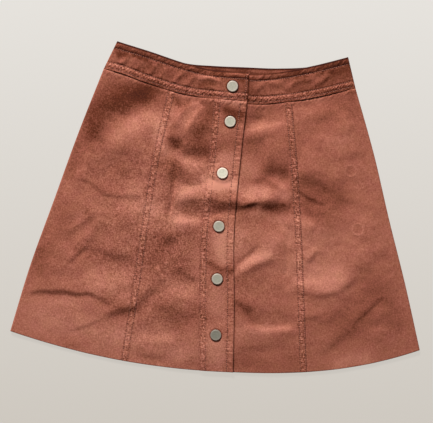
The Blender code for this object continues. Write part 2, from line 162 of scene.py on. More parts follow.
# Ridges, or below zero troughs: height, width, how much more gently the waist side runs out, points
Ridge = namedtuple("Ridge", "height width gentle points")
RIDGE_UNITS = (MM, MM, 1.0)
RIDGES = rows_of(Ridge, RIDGE_UNITS, (
    # the fold across the middle and the hollow under it
    (3.1, 9, 1.7, (-72, 8), (-56, 11), (-40, 14), (-20, 15), (7, 13)),
    (3.9, 8.5, 1.5, (-7, 14), (12, 13), (30, 12), (52, 16), (68, 18), (84, 18)),
    (-1.8, 8.5, 1, (-44, -10), (-10, -7), (10, -5), (30, -1)),
    # left centre panel
    (-1.8, 3, 1, (-74, 62), (-73, 30), (-74, 2), (-75, -22)),
    (1.3, 5, 1, (-58, 98), (-54, 112), (-46, 130), (-33, 148)),
    (1, 4.5, 1, (-76, 114), (-70, 132), (-56, 146), (-40, 150)),
    (1.2, 4.5, 1, (-90, -88), (-80, -110)),
    # right centre panel
    (1.9, 7.4, 1.1, (20, -99), (34, -90), (54, -77), (80, -63)),
    (-1.2, 5, 1, (24, -82), (42, -66), (60, -50)),
    (-1, 3, 1, (94, -30), (98, -72), (101, -114)),
    # left side panel
    (0.9, 6, 1, (-228, -52), (-202, -29), (-177, -6)),
    (0.6, 6, 1, (-214, -70), (-192, -47), (-170, -22)),
))
BAND_RIDGES = rows_of(Ridge, RIDGE_UNITS, (
    (1, 3.8, 1, (-160, 200), (-151, 209), (-145, 219)),
    (0.9, 3.4, 1, (-141, 189), (-131, 200), (-125, 212)),
    (1, 3.4, 1, (-123, 183), (-112, 194), (-107, 205)),
    (0.9, 3.2, 1, (-107, 178), (-98, 188), (-92, 200)),
    (1, 3.6, 1, (-86, 172), (-76, 184), (-62, 197)),
    (1, 3.4, 1, (-64, 172), (-56, 183), (-47, 194)),
    (1, 3.6, 1, (-46, 187), (-30, 188), (-16, 186), (-5, 180)),
    (0.6, 3.6, 1, (-54, 164), (-43, 173), (-27, 175), (-13, 170)),
    (0.7, 4.2, 1, (36, 176), (56, 186), (82, 185)),
    (0.7, 4.2, 1, (84, 176), (100, 190), (126, 197)),
    (0.9, 3.6, 1, (126, 186), (146, 204)),
))

# Slopes that face the hem, or below zero the waist, between cloth that lies level: height, width, points
Fall = namedtuple("Fall", "height width points")
FALLS = rows_of(Fall, (MM, MM), (
    # above the fold, beside a snap
    (-1.6, 8, (-26, 39), (0, 38), (20, 38)),
    # left side panel
    (-2.2, 16, (-180, 92), (-146, 108), (-104, 136)), (1, 12, (-168, 74), (-120, 68)),
    (0.4, 3.2, (-222, 35), (-195, 28), (-172, 14), (-150, 10), (-130, 13), (-113, 8)),
    (-1, 9, (-155, -3), (-118, -6)), (0.8, 3.6, (-218, -89), (-204, -76), (-190, -61)),
    (0.7, 7, (-184, -67), (-155, -76), (-124, -80)), (-1, 18, (-196, -106), (-152, -110), (-124, -112)),
    (1.2, 4.4, (-290, -136), (-245, -133), (-210, -134), (-186, -133), (-168, -139), (-152, -147)),
    (0.6, 3, (-216, -191), (-190, -180), (-164, -167)),
    (1.4, 6, (-168, -170), (-142, -158), (-118, -148), (-103, -131), (-88, -115)),
    (0.9, 5, (-220, -206), (-194, -213)),
    # left centre panel
    (1.7, 10, (-88, 95), (-60, 95)), (1.5, 10, (-64, 82), (-22, 82)), (1, 10, (-50, 110), (-22, 120)),
    (-1.2, 9, (-80, 77), (-55, 66), (-30, 62)), (0.7, 4, (-64, 38), (-44, 35), (-26, 42)),
    (-1.8, 9, (-70, -21), (-54, -18), (-32, -20)), (1.6, 8, (-83, -52), (-63, -46)),
    (1.1, 6, (-64, -91), (-40, -102), (-26, -108)), (-1.3, 10, (-78, -122), (-30, -124)),
    (0.9, 10, (-88, -147), (-50, -156), (-26, -162)), (-1.5, 9, (-118, -197), (-52, -192)),
    (1.1, 5, (-118, -213), (-68, -224)), (1, 7, (-48, -223), (-28, -224)),
    # right centre panel
    (0.7, 2.6, (24, 2), (38, 8), (54, 14)), (1, 6, (28, 140), (52, 140)),
    (-1.4, 8, (28, 118), (60, 124), (92, 134)), (1.1, 9, (26, 105), (60, 102)),
    (1.6, 8, (56, 8), (74, 7), (100, 8)), (-1.3, 14, (58, -60), (78, -40), (100, -26)),
    (1.3, 10, (56, 60), (96, 64)), (-1, 5, (60, 48), (74, 44), (92, 36)), (1, 7, (22, -134), (54, -146)),
    (-1.5, 6, (40, -166), (75, -170), (118, -164)), (0.9, 8, (24, -203), (112, -191)),
    # right side panel
    (0.8, 10, (112, 138), (164, 142)), (1.3, 11, (104, 51), (135, 45), (166, 30)),
    (0.7, 3, (104, 33), (126, 22), (152, 12)), (-1.1, 8, (104, -12), (136, -14)),
    (0.9, 4, (128, -72), (142, -52)), (-1, 16, (112, -98), (150, -94), (190, -80)),
    (1.1, 7, (105, -108), (140, -118), (175, -112), (208, -87)),
    (0.6, 3.4, (197, -160), (218, -137), (243, -112)), (0.8, 7, (150, -206), (170, -190), (196, -163)),
    (0.7, 5, (120, -156), (150, -148)), (-0.8, 7, (216, -164), (262, -158)),
))

# Patches where the cloth is painted lighter, or below zero darker, partly the nap and partly painted light
# and shade that the relief doesn't give: tone, width, points
Patch = namedtuple("Patch", "tone width points")
PATCHES = rows_of(Patch, (1.0, MM), (
    # waistband
    (0.09, 12, (34, 199), (76, 199)), (0.10, 6, (-160, 188), (-136, 185), (-112, 180)),
    (0.11, 5, (-142, 209), (-124, 204)), (-0.14, 3.5, (-39, 176.5), (-25, 182.5)),
    (0.10, 4, (-42, 186), (-18, 189)), (-0.07, 11, (100, 178), (136, 180)),
    (-0.24, 4.5, (-160, 218.5), (-142, 215), (-122, 211.5)), (-0.10, 4, (-42, 198.5), (-12, 197)),
    (-0.09, 5, (40, 192), (56, 192.5)), (-0.09, 5, (78, 193), (94, 195)),
    (-0.12, 6, (98, 199), (108, 199)), (-0.10, 7, (150, 182), (176, 182), (178, 170)),
    (-0.12, 4, (26, 193), (38, 193)), (0.07, 10, (-172, 206), (-150, 199)),
    (-0.08, 14, (-122, 204), (-60, 190)), (-0.10, 12, (26, 200), (30, 170)),
    (-0.05, 16, (70, 192), (130, 202)), (-0.16, 18, (152, 210), (176, 216)),
    (-0.17, 5.5, (-22, 194), (20, 191)), (-0.12, 4, (-30, 207), (64, 207)),
    # left side panel
    (-0.29, 22.5, (-192, 106), (-187, 132), (-167, 153), (-124, 162)),
    (-0.12, 15, (-152, 146), (-122, 158), (-98, 160)), (0.09, 15, (-156, 98), (-140, 110), (-104, 134)),
    (0.17, 11, (-96, 116), (-92, 94), (-84, 78)), (0.05, 12, (-176, 88), (-164, 70)),
    (-0.08, 12, (-176, 22), (-148, 20)), (0.10, 20, (-130, 14), (-108, -6), (-74, -14)),
    (-0.10, 12, (-214, 76), (-220, 48)), (-0.08, 20, (-226, -20), (-264, -92)),
    (-0.10, 9, (-164, -142), (-138, -146)), (0.06, 8, (-236, -144), (-204, -144)),
    (-0.05, 14, (-205, -78), (-150, -82)), (0.09, 30, (-170, -112), (-144, -116)),
    (0.11, 30, (-250, -168), (-190, -188), (-100, -196), (-50, -200)),
    (-0.07, 11, (-146, -164), (-118, -154)), (0.07, 11, (-148, -190), (-132, -186)),
    (-0.07, 14, (-172, 122), (-150, 116)), (-0.07, 9, (-154, 82), (-146, 80)),
    (-0.07, 9, (-154, 52), (-146, 52)), (0.07, 8, (-96, 98), (-86, 98)),
    (0.06, 9, (-114, -8), (-104, -8)), (0.07, 9, (-214, -22), (-206, -22)),
    (-0.07, 10, (-254, -75), (-258, -100)), (-0.07, 10, (-214, -202), (-188, -202)),
    # left centre panel
    (-0.07, 9, (-54, -172), (-46, -174)), (0.06, 8, (-56, -143), (-46, -140)),
    (0.05, 8.5, (-44, 148), (-58, 124), (-60, 106)), (-0.14, 6, (-74, 156), (-69, 142)),
    (-0.12, 4, (-53, 155), (-60, 146)), (-0.10, 7, (-74, 153), (-62, 151)),
    (-0.21, 14.5, (-31, 132), (-38, 108)), (-0.20, 14, (-43, 84), (-30, 86)),
    (-0.22, 12, (-77, 96), (-72, 94)), (-0.19, 13.5, (-80, 62), (-77, 50)),
    (0.09, 16, (-56, 66), (-30, 64), (0, 62)), (0.05, 16, (-90, 30), (-90, 10)),
    (-0.10, 5.5, (-79, 40), (-79, -20)), (0.15, 10, (-60, -17), (-44, -16)),
    (0.06, 16, (-66, -116), (-36, -120)), (-0.10, 11, (-72, -40), (-82, -58), (-92, -80)),
    (-0.07, 11, (-62, -80), (-56, -98)), (-0.05, 14, (-80, -152), (-20, -152)),
    (0.06, 11, (-116, -46), (-104, 10)), (0.07, 9, (-30, -70), (-28, -98)),
    # across the opening
    (-0.07, 14, (-20, 146), (30, 142), (88, 152)), (-0.26, 8.5, (1, 143), (18, 138)),
    (-0.08, 9, (-4, 94), (16, 100), (40, 102)), (0.15, 11, (-58, 20), (-34, 28), (-4, 34)),
    (0.24, 8, (-22, 40), (0, 36), (16, 35)), (0.12, 10, (36, 25), (60, 29)),
    (0.10, 10, (-14, 157), (18, 156)), (-0.05, 8, (-16, -10), (-8, -7)), (0.10, 6.5, (-25, 8), (-22, -4)),
    (0.13, 10, (-16, 46), (12, 46)), (0.14, 6, (52, 8), (54, -2), (44, -8)),
    (0.07, 12, (-60, 8), (-56, 6)), (0.09, 8, (-66, -28), (-56, -32)), (0.09, 9, (-6, 158), (22, 158)),
    (-0.05, 6, (68, 8), (86, 8)), (0.07, 8, (70, -8), (84, -8)), (-0.09, 9, (-10, -158), (12, -172)),
    (0.08, 10, (-14, -196), (14, -198)), (0.12, 9, (88, 22), (106, 20)),
    (-0.14, 6.5, (52, 41), (64, 42), (76, 37)), (0.12, 11, (28, -38), (30, -56)),
    (0.08, 10, (30, 60), (44, 57)), (-0.10, 6, (-52, -3), (-46, -2)), (-0.12, 8, (-64, 56), (-50, 40)),
    (-0.08, 12, (-10, 4), (16, 4), (46, 0)), (-0.12, 7, (70, 6), (96, 6)),
    (0.26, 14.5, (3, -40), (3, -68)), (-0.22, 5.2, (-14, -79), (0, -86), (21, -86)),
    (-0.07, 3.4, (-14, -64), (4, -75)), (0.12, 17, (-1, -124), (4, -215)),
    (-0.08, 10, (24, -134), (44, -142)), (-0.08, 8, (38, -140), (54, -160)),
    (0.08, 13, (34, -178), (70, -178)), (-0.07, 16, (52, -226), (120, -220)),
    (0.07, 11, (-58, -214), (12, -216)), (0.07, 11, (-12, 75), (10, 72)),
    # right centre panel
    (-0.07, 9, (66, -20), (90, -34)), (0.06, 11, (68, -54), (62, -74)), (-0.07, 8, (24, -82), (34, -98)),
    (-0.07, 8, (86, -98), (96, -98)), (-0.17, 13, (64, 62), (86, 60)), (-0.06, 20, (40, 92), (100, 100)),
    (0.13, 7.5, (28, -88), (56, -68), (68, -62)), (0.05, 18, (60, -56), (84, -30)),
    # right side panel
    (-0.15, 20, (118, 38), (140, 32), (164, 26)), (-0.08, 30, (142, 120), (160, 152)),
    (-0.05, 13, (114, 160), (180, 152)), (-0.07, 16, (246, -124), (262, -148)),
    (0.10, 11, (182, -216), (218, -206)), (0.12, 6, (110, 166), (132, 168)),
    (0.08, 12, (150, 106), (172, 114)), (-0.06, 10, (128, 6), (150, -8)),
    (-0.10, 14, (110, 14), (144, 8)), (0.06, 14, (102, -30), (176, -26)),
    (0.12, 30, (116, -84), (164, -94)), (0.05, 20, (124, -40), (150, -50)),
    (-0.13, 28, (226, -112), (192, -156)),
))

# Faint rings that snaps once pressed into the cloth
Ring = namedtuple("Ring", "x y strength")
RINGS = (
    Ring(0.163, 0.134, 0.35),
    Ring(0.1835, 0.065, 1.0),
    Ring(0.198, -0.019, 1.0),
    Ring(0.213, -0.093, 0.25),
)
RING_RADIUS = 0.0082
RING_HIGH = 0.00028

# Unevenness of the front and of the back: height, size, stretch along Y and seed of each noise
FRONT_UNEVEN = ((0.0012, 0.055, 0.7, 31), (0.00070, 0.026, 1.0, 32), (0.00022, 0.011, 1.0, 33))
BACK_UNEVEN = ((0.000135, 0.060, 0.7, 81), (0.00009, 0.026, 1.0, 82))

# ---- Fineness of the meshes ----

ROW = STITCH_PITCH / 3.0    # between rows down the panels
BAND_ROW = 0.0007           # and down the waistband
COLUMN = 0.0022             # between columns in the open cloth
BAND_COLUMN = 0.0012        # and in the waistband
FINE = 0.0008               # between columns beside seams and stitches
FINE_REACH = 0.013          # from a princess seam towards the middle, how far they go
FULL = SEAM_HALF + SEAM_ROUND + FINE    # from a seam to the first of them
FOLD_CLEAR, BACK_CLEAR = 0.0035, 0.0045     # from the edge at a side, where even columns start
ROUND_TURNS = np.radians((0.0, 25.0, 50.0, 72.0, 90.0))         # round the edge of a sheet
OUTER_TURNS = np.radians((0.0, 9.0, 24.0, 42.0, 60.0, 77.0, 90.0))  # round the fold at a side
INNER_TURNS = np.radians((0.0, 0.0, 18.0, 38.0, 58.0, 76.0, 90.0))


def mix(first, second, share):
    return first + (second - first) * share


def ease(start, end, value):
    """0 before start, 1 after end, smooth between."""
    share = np.clip((value - start) / (end - start), 0.0, 1.0)
    return share * share * (3.0 - 2.0 * share)


def bump(distance, width):
    """1 at no distance, falling smoothly to 0 on both sides."""
    return np.exp(-(distance / width) ** 2)


def read_curve(table, column, value):
    """A smooth curve through one column of a table whose first column rises."""
    value = np.asarray(value, float)
    at, height = table[:, 0], table[:, column]
    low = np.clip(np.searchsorted(at, value) - 1, 0, len(at) - 2)
    before, after = np.maximum(low - 1, 0), np.minimum(low + 2, len(at) - 1)
    span = at[low + 1] - at[low]
    share = (value - at[low]) / span
    slope_in = (height[low + 1] - height[before]) / (at[low + 1] - at[before]) * span
    slope_out = (height[after] - height[low]) / (at[after] - at[low]) * span
    square = share * share
    cube = square * share
    return (height[low] * (2.0 * cube - 3.0 * square + 1.0) + slope_in * (cube - 2.0 * square + share)
            + height[low + 1] * (3.0 * square - 2.0 * cube) + slope_out * (cube - square))


def line(column, down):
    """X of a named line of the skirt at a share of the way down."""
    return read_curve(SECTIONS, column, down)


def hem_y(across):
    """Y of the hem at a share of the way across."""
    from_middle = 2.0 * across - 1.0
    left = HEM_RISE_LEFT * np.maximum(-from_middle, 0.0) ** HEM_POWER_LEFT
    right = HEM_RISE_RIGHT * np.maximum(from_middle, 0.0) ** HEM_POWER_RIGHT
    return HEM_LOW + left + right


def panel_y(x, down):
    """Y of a point of the panels, from its X and its share of the way down."""
    left, right = line(LEFT, down), line(RIGHT, down)
    across = (x - left) / (right - left)
    return mix(read_curve(WAIST, SEAM, across), hem_y(across), down)


def band_point(x_at_seam, up, top_column):
    """X, Y and distances to the waist seam and to the top edge of a point of the waistband."""
    across = (x_at_seam - AT_WAIST[LEFT]) / (AT_WAIST[RIGHT] - AT_WAIST[LEFT])
    x = mix(x_at_seam, mix(BAND_TOP_LEFT, BAND_TOP_RIGHT, across), up)
    seam, top = read_curve(WAIST, SEAM, across), read_curve(WAIST, top_column, across)
    return x, mix(seam, top, up), up * (top - seam), (1.0 - up) * (top - seam)


def noise(x, y, size, seed):
    """Smooth noise, about -1 to 1, with bumps of a given size; a seed always gives the same."""
    cells = 128                 # before it repeats
    angles = np.random.default_rng(seed).uniform(0.0, 2.0 * math.pi, (cells, cells))
    x, y = np.asarray(x) / size, np.asarray(y) / size
    column, row = np.floor(x).astype(int), np.floor(y).astype(int)
    x, y = x - column, y - row
    share_x, share_y = ease(0.0, 1.0, x), ease(0.0, 1.0, y)
    total = 0.0
    for step_x, weight_x in ((0, 1.0 - share_x), (1, share_x)):
        for step_y, weight_y in ((0, 1.0 - share_y), (1, share_y)):
            angle = angles[(row + step_y) % cells, (column + step_x) % cells]
            slope = np.cos(angle) * (x - step_x) + np.sin(angle) * (y - step_y)
            total = total + weight_x * weight_y * slope
    return 1.6 * total


def unevenness(x, y, noises):
    """The height of several noises together."""
    return sum(height * noise(x, stretch * y, size, seed) for height, size, stretch, seed in noises)


# ---- Snaps ----

CAP_RADIUS = 0.0079
CAP_HEIGHT = 0.0018
SNAP_COUNT = 6


def snap_place(number):
    """The middle of a snap, and the height of its cap's underside."""
    low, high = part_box(f"snap_cap_{number}")
    return (low.x + high.x) / 2.0, (low.y + high.y) / 2.0, high.z - CAP_HEIGHT


SNAPS = [snap_place(number) for number in range(1, SNAP_COUNT + 1)]


def from_snaps(x, y):
    """Distance to the nearest snap."""
    return np.min([np.hypot(x - snap[0], y - snap[1]) for snap in SNAPS], axis=0)


# ---- Shape of the front ----

def smooth_curve(points, steps=7):
    """A curve through points, as short straight runs."""
    padded = np.concatenate((2.0 * points[:1] - points[1:2], points, 2.0 * points[-1:] - points[-2:-1]))
    curve = []
    for before, start, end, after in zip(padded, padded[1:], padded[2:], padded[3:]):
        for share in np.arange(steps) / steps:
            curve.append(0.5 * (2.0 * start + (end - before) * share
                                + (2.0 * before - 5.0 * start + 4.0 * end - after) * share ** 2
                                + (3.0 * start - before - 3.0 * end + after) * share ** 3))
    return np.array(curve + [points[-1]])


def beside_curve(x, y, points, reach):
    """Where the grid is near a curve, its distance to it (above zero on the left) and a fade to both ends."""
    curve = smooth_curve(points)
    low, high = curve.min(axis=0) - reach, curve.max(axis=0) + reach
    near = (x > low[0]) & (x < high[0]) & (y > low[1]) & (y < high[1])
    x, y = x[near], y[near]
    runs = np.diff(curve, axis=0)
    lengths = np.hypot(runs[:, 0], runs[:, 1])
    nearest, side, place, done = np.full(x.shape, np.inf), np.ones(x.shape), np.zeros(x.shape), 0.0
    for start, run, length in zip(curve, runs, lengths):
        share = ((x - start[0]) * run[0] + (y - start[1]) * run[1]) / length ** 2
        share = np.clip(share, 0.0, 1.0)
        away_x, away_y = x - start[0] - run[0] * share, y - start[1] - run[1] * share
        away = np.hypot(away_x, away_y)
        closer = away < nearest
        place = np.where(closer, (done + share * length) / lengths.sum(), place)
        side = np.where(closer, np.sign(run[0] * away_y - run[1] * away_x), side)
        nearest = np.minimum(nearest, away)
        done += length
    return near, nearest * side, 1.0 - np.abs(2.0 * place - 1.0) ** 4


def ridge_height(x, y, ridge):
    height = np.zeros(x.shape)
    near, away, fade = beside_curve(x, y, ridge.points, 3.0 * ridge.width * ridge.gentle)
    width = np.where(away > 0.0, ridge.width * ridge.gentle, ridge.width)
    height[near] = ridge.height * fade * bump(away, width)
    return height


def fall_height(x, y, fall):
    height = np.zeros(x.shape)
    near, away, fade = beside_curve(x, y, fall.points, 7.0 * fall.width)
    height[near] = fall.height * fade * np.tanh(1.3 * away / fall.width) * bump(away, 3.2 * fall.width)
    return height


def soft_floor(height):
    """Keeps the front cloth from sinking into the back."""
    soft = 0.00025              # over how much height the floor starts to hold it
    return soft * np.logaddexp(0.0, (height + LOWEST) / soft) - LOWEST


def wander(x, y, far, size, seed):
    """A place moved a little, so that folds don't run quite straight."""
    return x + far * noise(x, y, size, seed), y + far * noise(x, y, size, seed + 1)


def ring_share(x, y, ring):
    """1 along a faint ring, 0 away from it, times its strength."""
    return ring.strength * bump(np.hypot(x - ring.x, y - ring.y) - RING_RADIUS, 0.0013)


def wrinkles(x, y):
    """Folds and small unevenness of the front panels, above their level."""
    moved_x, moved_y = wander(x, y, 0.0022, 0.026, 21)
    height = sum(ridge_height(moved_x, moved_y, ridge) for ridge in RIDGES)
    height = height + sum(fall_height(moved_x, moved_y, fall) for fall in FALLS)
    height = height + sum(RING_HIGH * ring_share(x, y, ring) for ring in RINGS)
    return height + unevenness(x, y, FRONT_UNEVEN)


def closing(x, down):
    """1 in the strip of the opening, 0 in the open cloth."""
    outside = np.maximum(np.maximum(line(PLACKET_SEAM, down) - x, x - line(EDGE, down)), 0.0)
    return 1.0 - ease(0.0, CLOSING_BLEND, outside)


def front_level(x, y, down):
    """Upper face of the front's first layer, without its sewing."""
    inside = np.minimum(x - line(LEFT, down), line(RIGHT, down) - x)
    in_strip = closing(x, down)
    level = mix(SEAM_LEVEL, OPEN_LEVEL, ease(0.0, OPEN_BY, down) * (1.0 - in_strip))
    near_hem = ease(HEM_FROM, 1.0, down)
    level = mix(level, mix(HEM_LEVEL, SEAM_LEVEL, in_strip), near_hem)
    level = mix(2.0 * FOLD_RADIUS, level, ease(*SIDE_RISE, inside))
    puff = PUFF * (1.0 - ease(0.90, 1.0, down)) * ease(SNAP_FLAT, SNAP_REACH, from_snaps(x, y))
    puff = in_strip * (puff + SEAM_LIFT * bump(down * LENGTH, 0.012))
    strength = ease(*SIDE_FOLDS, inside) * mix(TOP_FOLDS, 1.0, ease(0.0, TOP_FADE, down))
    strength = strength * (1.0 - STRIP_WEAKER * in_strip) * mix(1.0, HEM_FOLDS, near_hem)
    strength = strength * ease(SNAP_FLAT, FOLDS_STOP, from_snaps(x, y))
    return level + puff + soft_floor(wrinkles(x, y)) * strength


# ---- Tones on the cloth, above zero where it looks lighter: the nap, with painted light and shade ----

ROW_SHADE_TONE = -0.12            # painted shade along the valley of a row of stitches
DITCH_SHADE_TONE = -0.17          # painted shade in the ditch of the waist seam
EDGE_SHADE_TONE = -0.09           # painted shade on the cloth right beside a layer that stands over it
CAP_SHADOW_TONE = -0.34            # painted shadow on the cloth round a cap
SPECK_SHADING_TONE = 0.32           # of specks of painted light and shade over a gathered strip
TOP_TONE = -0.90            # along the top edge of the waistband
BAND_TONE = -0.11           # over the whole waistband
BAND_RIDGE_LIGHT_TONE = 0.04      # painted light on the ridge between its low rows
BAND_ROW_SHADE_TONE = -0.16       # and painted shade along its top row
RING_TONE, RING_INSIDE = 0.07, -0.04    # along a faint ring, and inside it
LIT_SLOPE_TONE = 0.35            # painted light and shade: lighter for each unit of slope down towards the waist, which faces the lamp

# The grain: its strength at least, how much more where the cloth is rubbed, and the middle and reach of that
GRAIN_LOW, GRAIN_MORE = 0.66, 0.80
GRAIN_MIDDLE, GRAIN_REACH = (-0.080, -0.050), (0.130, 0.170)


def patches(x, y):
    """How much lighter or darker the cloth is painted: for its brushed pile, with painted light and shade,
    and the faint rings.
    """
    tone = np.zeros(x.shape)
    moved_x, moved_y = wander(x, y, 0.005, 0.030, 25)
    for patch in PATCHES:
        near, away, _ = beside_curve(moved_x, moved_y, patch.points, 3.0 * patch.width)
        tone[near] += patch.tone * bump(away, patch.width)
    for ring in RINGS:
        tone += RING_TONE * ring_share(x, y, ring)
        tone += RING_INSIDE * ring.strength * bump(np.hypot(x - ring.x, y - ring.y), 0.6 * RING_RADIUS)
    return tone


def cap_shadow(x, y):
    """Darker close round a cap: a painted shadow."""
    return CAP_SHADOW_TONE * bump(from_snaps(x, y) - CAP_RADIUS - 0.0004, 0.0011)


def sewn_tone(x, y, distance, rows):
    """Painted shade along rows of stitches, with specks of painted light and shade over the gathered strip
    between them.
    """
    middle, half = 0.5 * (rows[0] + rows[-1]), 0.5 * (rows[-1] - rows[0]) + 0.002
    specks = SPECK_SHADING_TONE * noise(x, y, 0.0021, 91) * bump(distance - middle, half)
    return specks + sum(ROW_SHADE_TONE * bump(distance - row, ROW_WIDE) for row in rows)


def lean(outer):
    """How steeply a grid's surface slopes down towards the waist."""
    step = np.gradient(outer[..., 1], axis=0)
    step = np.where(np.abs(step) < 1e-4, -1e-4, step)
    return np.clip(-np.gradient(outer[..., 2], axis=0) / step, -0.6, 0.6)


def grain(points):
    """How clearly the threads show."""
    x, y = [(points[:, axis] - GRAIN_MIDDLE[axis]) / GRAIN_REACH[axis] for axis in range(2)]
    return GRAIN_LOW + GRAIN_MORE * bump(np.hypot(x, y), 1.0)


# ---- Shape of the sewing ----

def stitched(distance, rows, deep=ROW_DEEP, wide=ROW_WIDE):
    """The valleys that rows of stitches pull into the cloth."""
    return sum(-deep * bump(distance - row, wide) for row in rows)


def pucker(along, distance, middle, reach, seed, slant=0.0):
    """Small gathers across a stitched strip, which may lean over."""
    along = along - slant * distance
    phase = 2.0 * math.pi * along / STITCH_PITCH + 1.5 * noise(along, distance, 0.012, seed + 2)
    fine = noise(along, 0.3 * distance, 0.0024, seed)
    coarse = noise(along, 0.5 * distance, 0.0056, seed + 1)
    height = PUCKER_EVEN * np.cos(phase) + PUCKER_FINE * fine + PUCKER_COARSE * coarse
    return height * bump(distance - middle, reach)


def crowding(y, beside):
    """Small even folds across the placket's seam, in the hollow under the main fold."""
    waves = CROWD_HIGH * np.cos(2.0 * math.pi * y / CROWD_PITCH)
    return waves * bump(y - CROWD_Y, 0.0115) * bump(beside, 0.0085)


def welt(distance, width):
    """A strip beside a seam that the allowances under it raise."""
    far_side = 1.0 - ease(width - 0.0002, width + 0.0022, distance)
    return WELT_HIGH * ease(-0.0002, 0.0014, distance) * far_side


def below_waist(x, y):
    """Distance down from the waist seam."""
    return panel_y(x, 0.0) - y


def waist_edge(x, y):
    """How a panel turns down into the waist seam, with gathers along it."""
    below = below_waist(x, y)
    lip = WAIST_LIP * (bump(below - 0.0030, 0.0040) - bump(below, 0.0012))
    return lip + pucker(x, below, 0.002, 0.007, 41, slant=-0.7)


# Painted shade in the ditch of the waist seam.
def waist_ditch_shade(x, y):
    return DITCH_SHADE_TONE * bump(below_waist(x, y), 0.0013)


def slip_share(beside):
    """1 at the edge of the opening, where the right front hangs down most, 0 far from it."""
    return ease(-0.014, -0.001, beside) * (1.0 - ease(0.0, SLIP_REACH, beside))


def panel_top(x, down):
    """X, Y and Z of the upper face of a front panel, with its princess seams, and its tone."""
    y = panel_y(x, down)
    z = front_level(x, y, down) + waist_edge(x, y)
    tone = patches(x, y) + waist_ditch_shade(x, y)
    left, right = x - line(LEFT_SEAM, down), line(RIGHT_SEAM, down) - x
    for distance, rows, seed in ((left, PRINCESS_LEFT_ROWS, 51), (right, PRINCESS_RIGHT_ROWS, 53)):
        middle = 0.5 * (rows[0] + rows[1])
        z = z + stitched(distance, rows) + welt(distance, rows[1]) + pucker(y, distance, middle, 0.0058, seed)
        tone = tone + sewn_tone(x, y, distance, rows)
    return x, y, z, tone


def right_top(x, down):
    """The same right of the opening, where the front hangs a little lower."""
    x, y, z, tone = panel_top(x, down)
    beside = x - line(EDGE, down)
    # painted shade beside the placket's free edge, uneven along it
    tone = tone + EDGE_SHADE_TONE * (1.0 + 1.4 * noise(x, y, 0.030, 92)) * bump(beside - 0.0006, 0.0015)
    return x, y - SLIP_SEAM * slip_share(beside) * (1.0 - ease(0.0, 0.35, down)), z, tone


def left_top(x, down):
    """The same left of the placket, whose seam it meets."""
    x, y, z, tone = panel_top(x, down)
    beside = line(PLACKET_SEAM, down) - x
    return x, y, z + pucker(y, -beside, 0.006, 0.0060, 61) + crowding(y, beside), tone


def placket_top(x, down):
    """X, Y and Z of the placket's upper face, and its tone."""
    y = panel_y(x, down)
    inner, outer = x - line(PLACKET_SEAM, down), line(EDGE, down) - x
    z = front_level(x, y, down) + waist_edge(x, y)
    z = z + PLACKET_STEP * ease(-0.0002, 0.0034, inner) + PLACKET_ROLL * bump(outer - 0.0015, 0.0028)
    mound = SNAPS[1][2] - GAP - SEAM_LEVEL - PLACKET_STEP
    z = z + mound * (1.0 - ease(SNAP_FLAT, SNAP_REACH, from_snaps(x, y)))
    sewn = stitched(inner, PLACKET_ROWS) + stitched(outer, (PLACKET_EDGE_ROW,)) + crowding(y, -inner)
    sewn = sewn + pucker(y, inner, 0.006, 0.0060, 61) + pucker(y, outer, 0.005, 0.006, 63)
    tone = patches(x, y) + waist_ditch_shade(x, y) + cap_shadow(x, y)
    tone = tone + sewn_tone(x, y, inner, PLACKET_ROWS) + sewn_tone(x, y, outer, (PLACKET_EDGE_ROW,))
    return x, y, z + sewn * beside_cap(x, y), tone


def beside_cap(x, y):
    """0 under a cap, where the cloth is pressed flat, and 1 away from it."""
    return ease(CAP_RADIUS, CAP_RADIUS + 0.003, from_snaps(x, y))


def band_wrinkles(x, y, low, high):
    """Slanting wrinkles in the waistband's body, between its rows of stitches."""
    body = ease(0.009, 0.014, low) * ease(0.007, 0.012, high)
    slant, run = 0.86 * x - 0.50 * y, 0.50 * x + 0.86 * y
    fine = 0.00034 * noise(slant, 0.34 * run, 0.0080, 71) + 0.0005 * noise(x, y, 0.020, 72)
    moved_x, moved_y = wander(x, y, 0.0012, 0.012, 73)
    folds = sum(ridge_height(moved_x, moved_y, ridge) for ridge in BAND_RIDGES)
    return body * (fine + folds) + 0.0006 * noise(x, y, 0.045, 74)


def band_sewing(along, low, high):
    """Rows of stitches, the ridges between them and the gathers across them."""
    z = stitched(low, BAND_LOW_ROWS[:1]) + stitched(low, BAND_LOW_ROWS[1:], 0.00045, BAND_ROW_WIDE)
    z = z + stitched(high, (BAND_TOP_ROW,), 0.0005, BAND_ROW_WIDE)
    z = z + 0.0003 * bump(low - BAND_RIDGE, 0.0022) + 0.0004 * bump(high - BAND_TOP_RIDGE, 0.0024)
    leaning = along - 0.9 * low + 0.0016 * noise(along, low, 0.013, 76)
    gathers = np.cos(2.0 * math.pi * leaning / GATHER_PITCH) * bump(low - BAND_RIDGE, 0.0032)
    z = z + (0.00026 + 0.00016 * noise(along, low, 0.011, 78)) * gathers
    z = z + 0.9 * pucker(along, low, 0.0070, 0.0036, 75, slant=0.9)
    z = z + pucker(along, low, 0.0015, 0.0020, 77, slant=0.9)
    return z + 1.2 * pucker(along, high, 0.0055, 0.0050, 79, slant=-0.9)


def band_tone(x, y, low, high, outline=1.0):
    """Darker than the panels, most of all at its top edge, which a share may make fainter, with painted shade
    in the seam's ditch and along the rows, and painted light on the ridge between the low rows.
    """
    at_seam = DITCH_SHADE_TONE * bump(low, 0.0010) + BAND_RIDGE_LIGHT_TONE * bump(low - 0.0080, 0.0022)
    at_top = outline * TOP_TONE * bump(high, 0.0020) + BAND_ROW_SHADE_TONE * bump(high - 0.0084, 0.0024)
    sewn = sewn_tone(x, y, low, BAND_LOW_ROWS) + sewn_tone(x, y, high, (BAND_TOP_ROW,))
    return patches(x, y) + BAND_TONE + at_seam + at_top + sewn


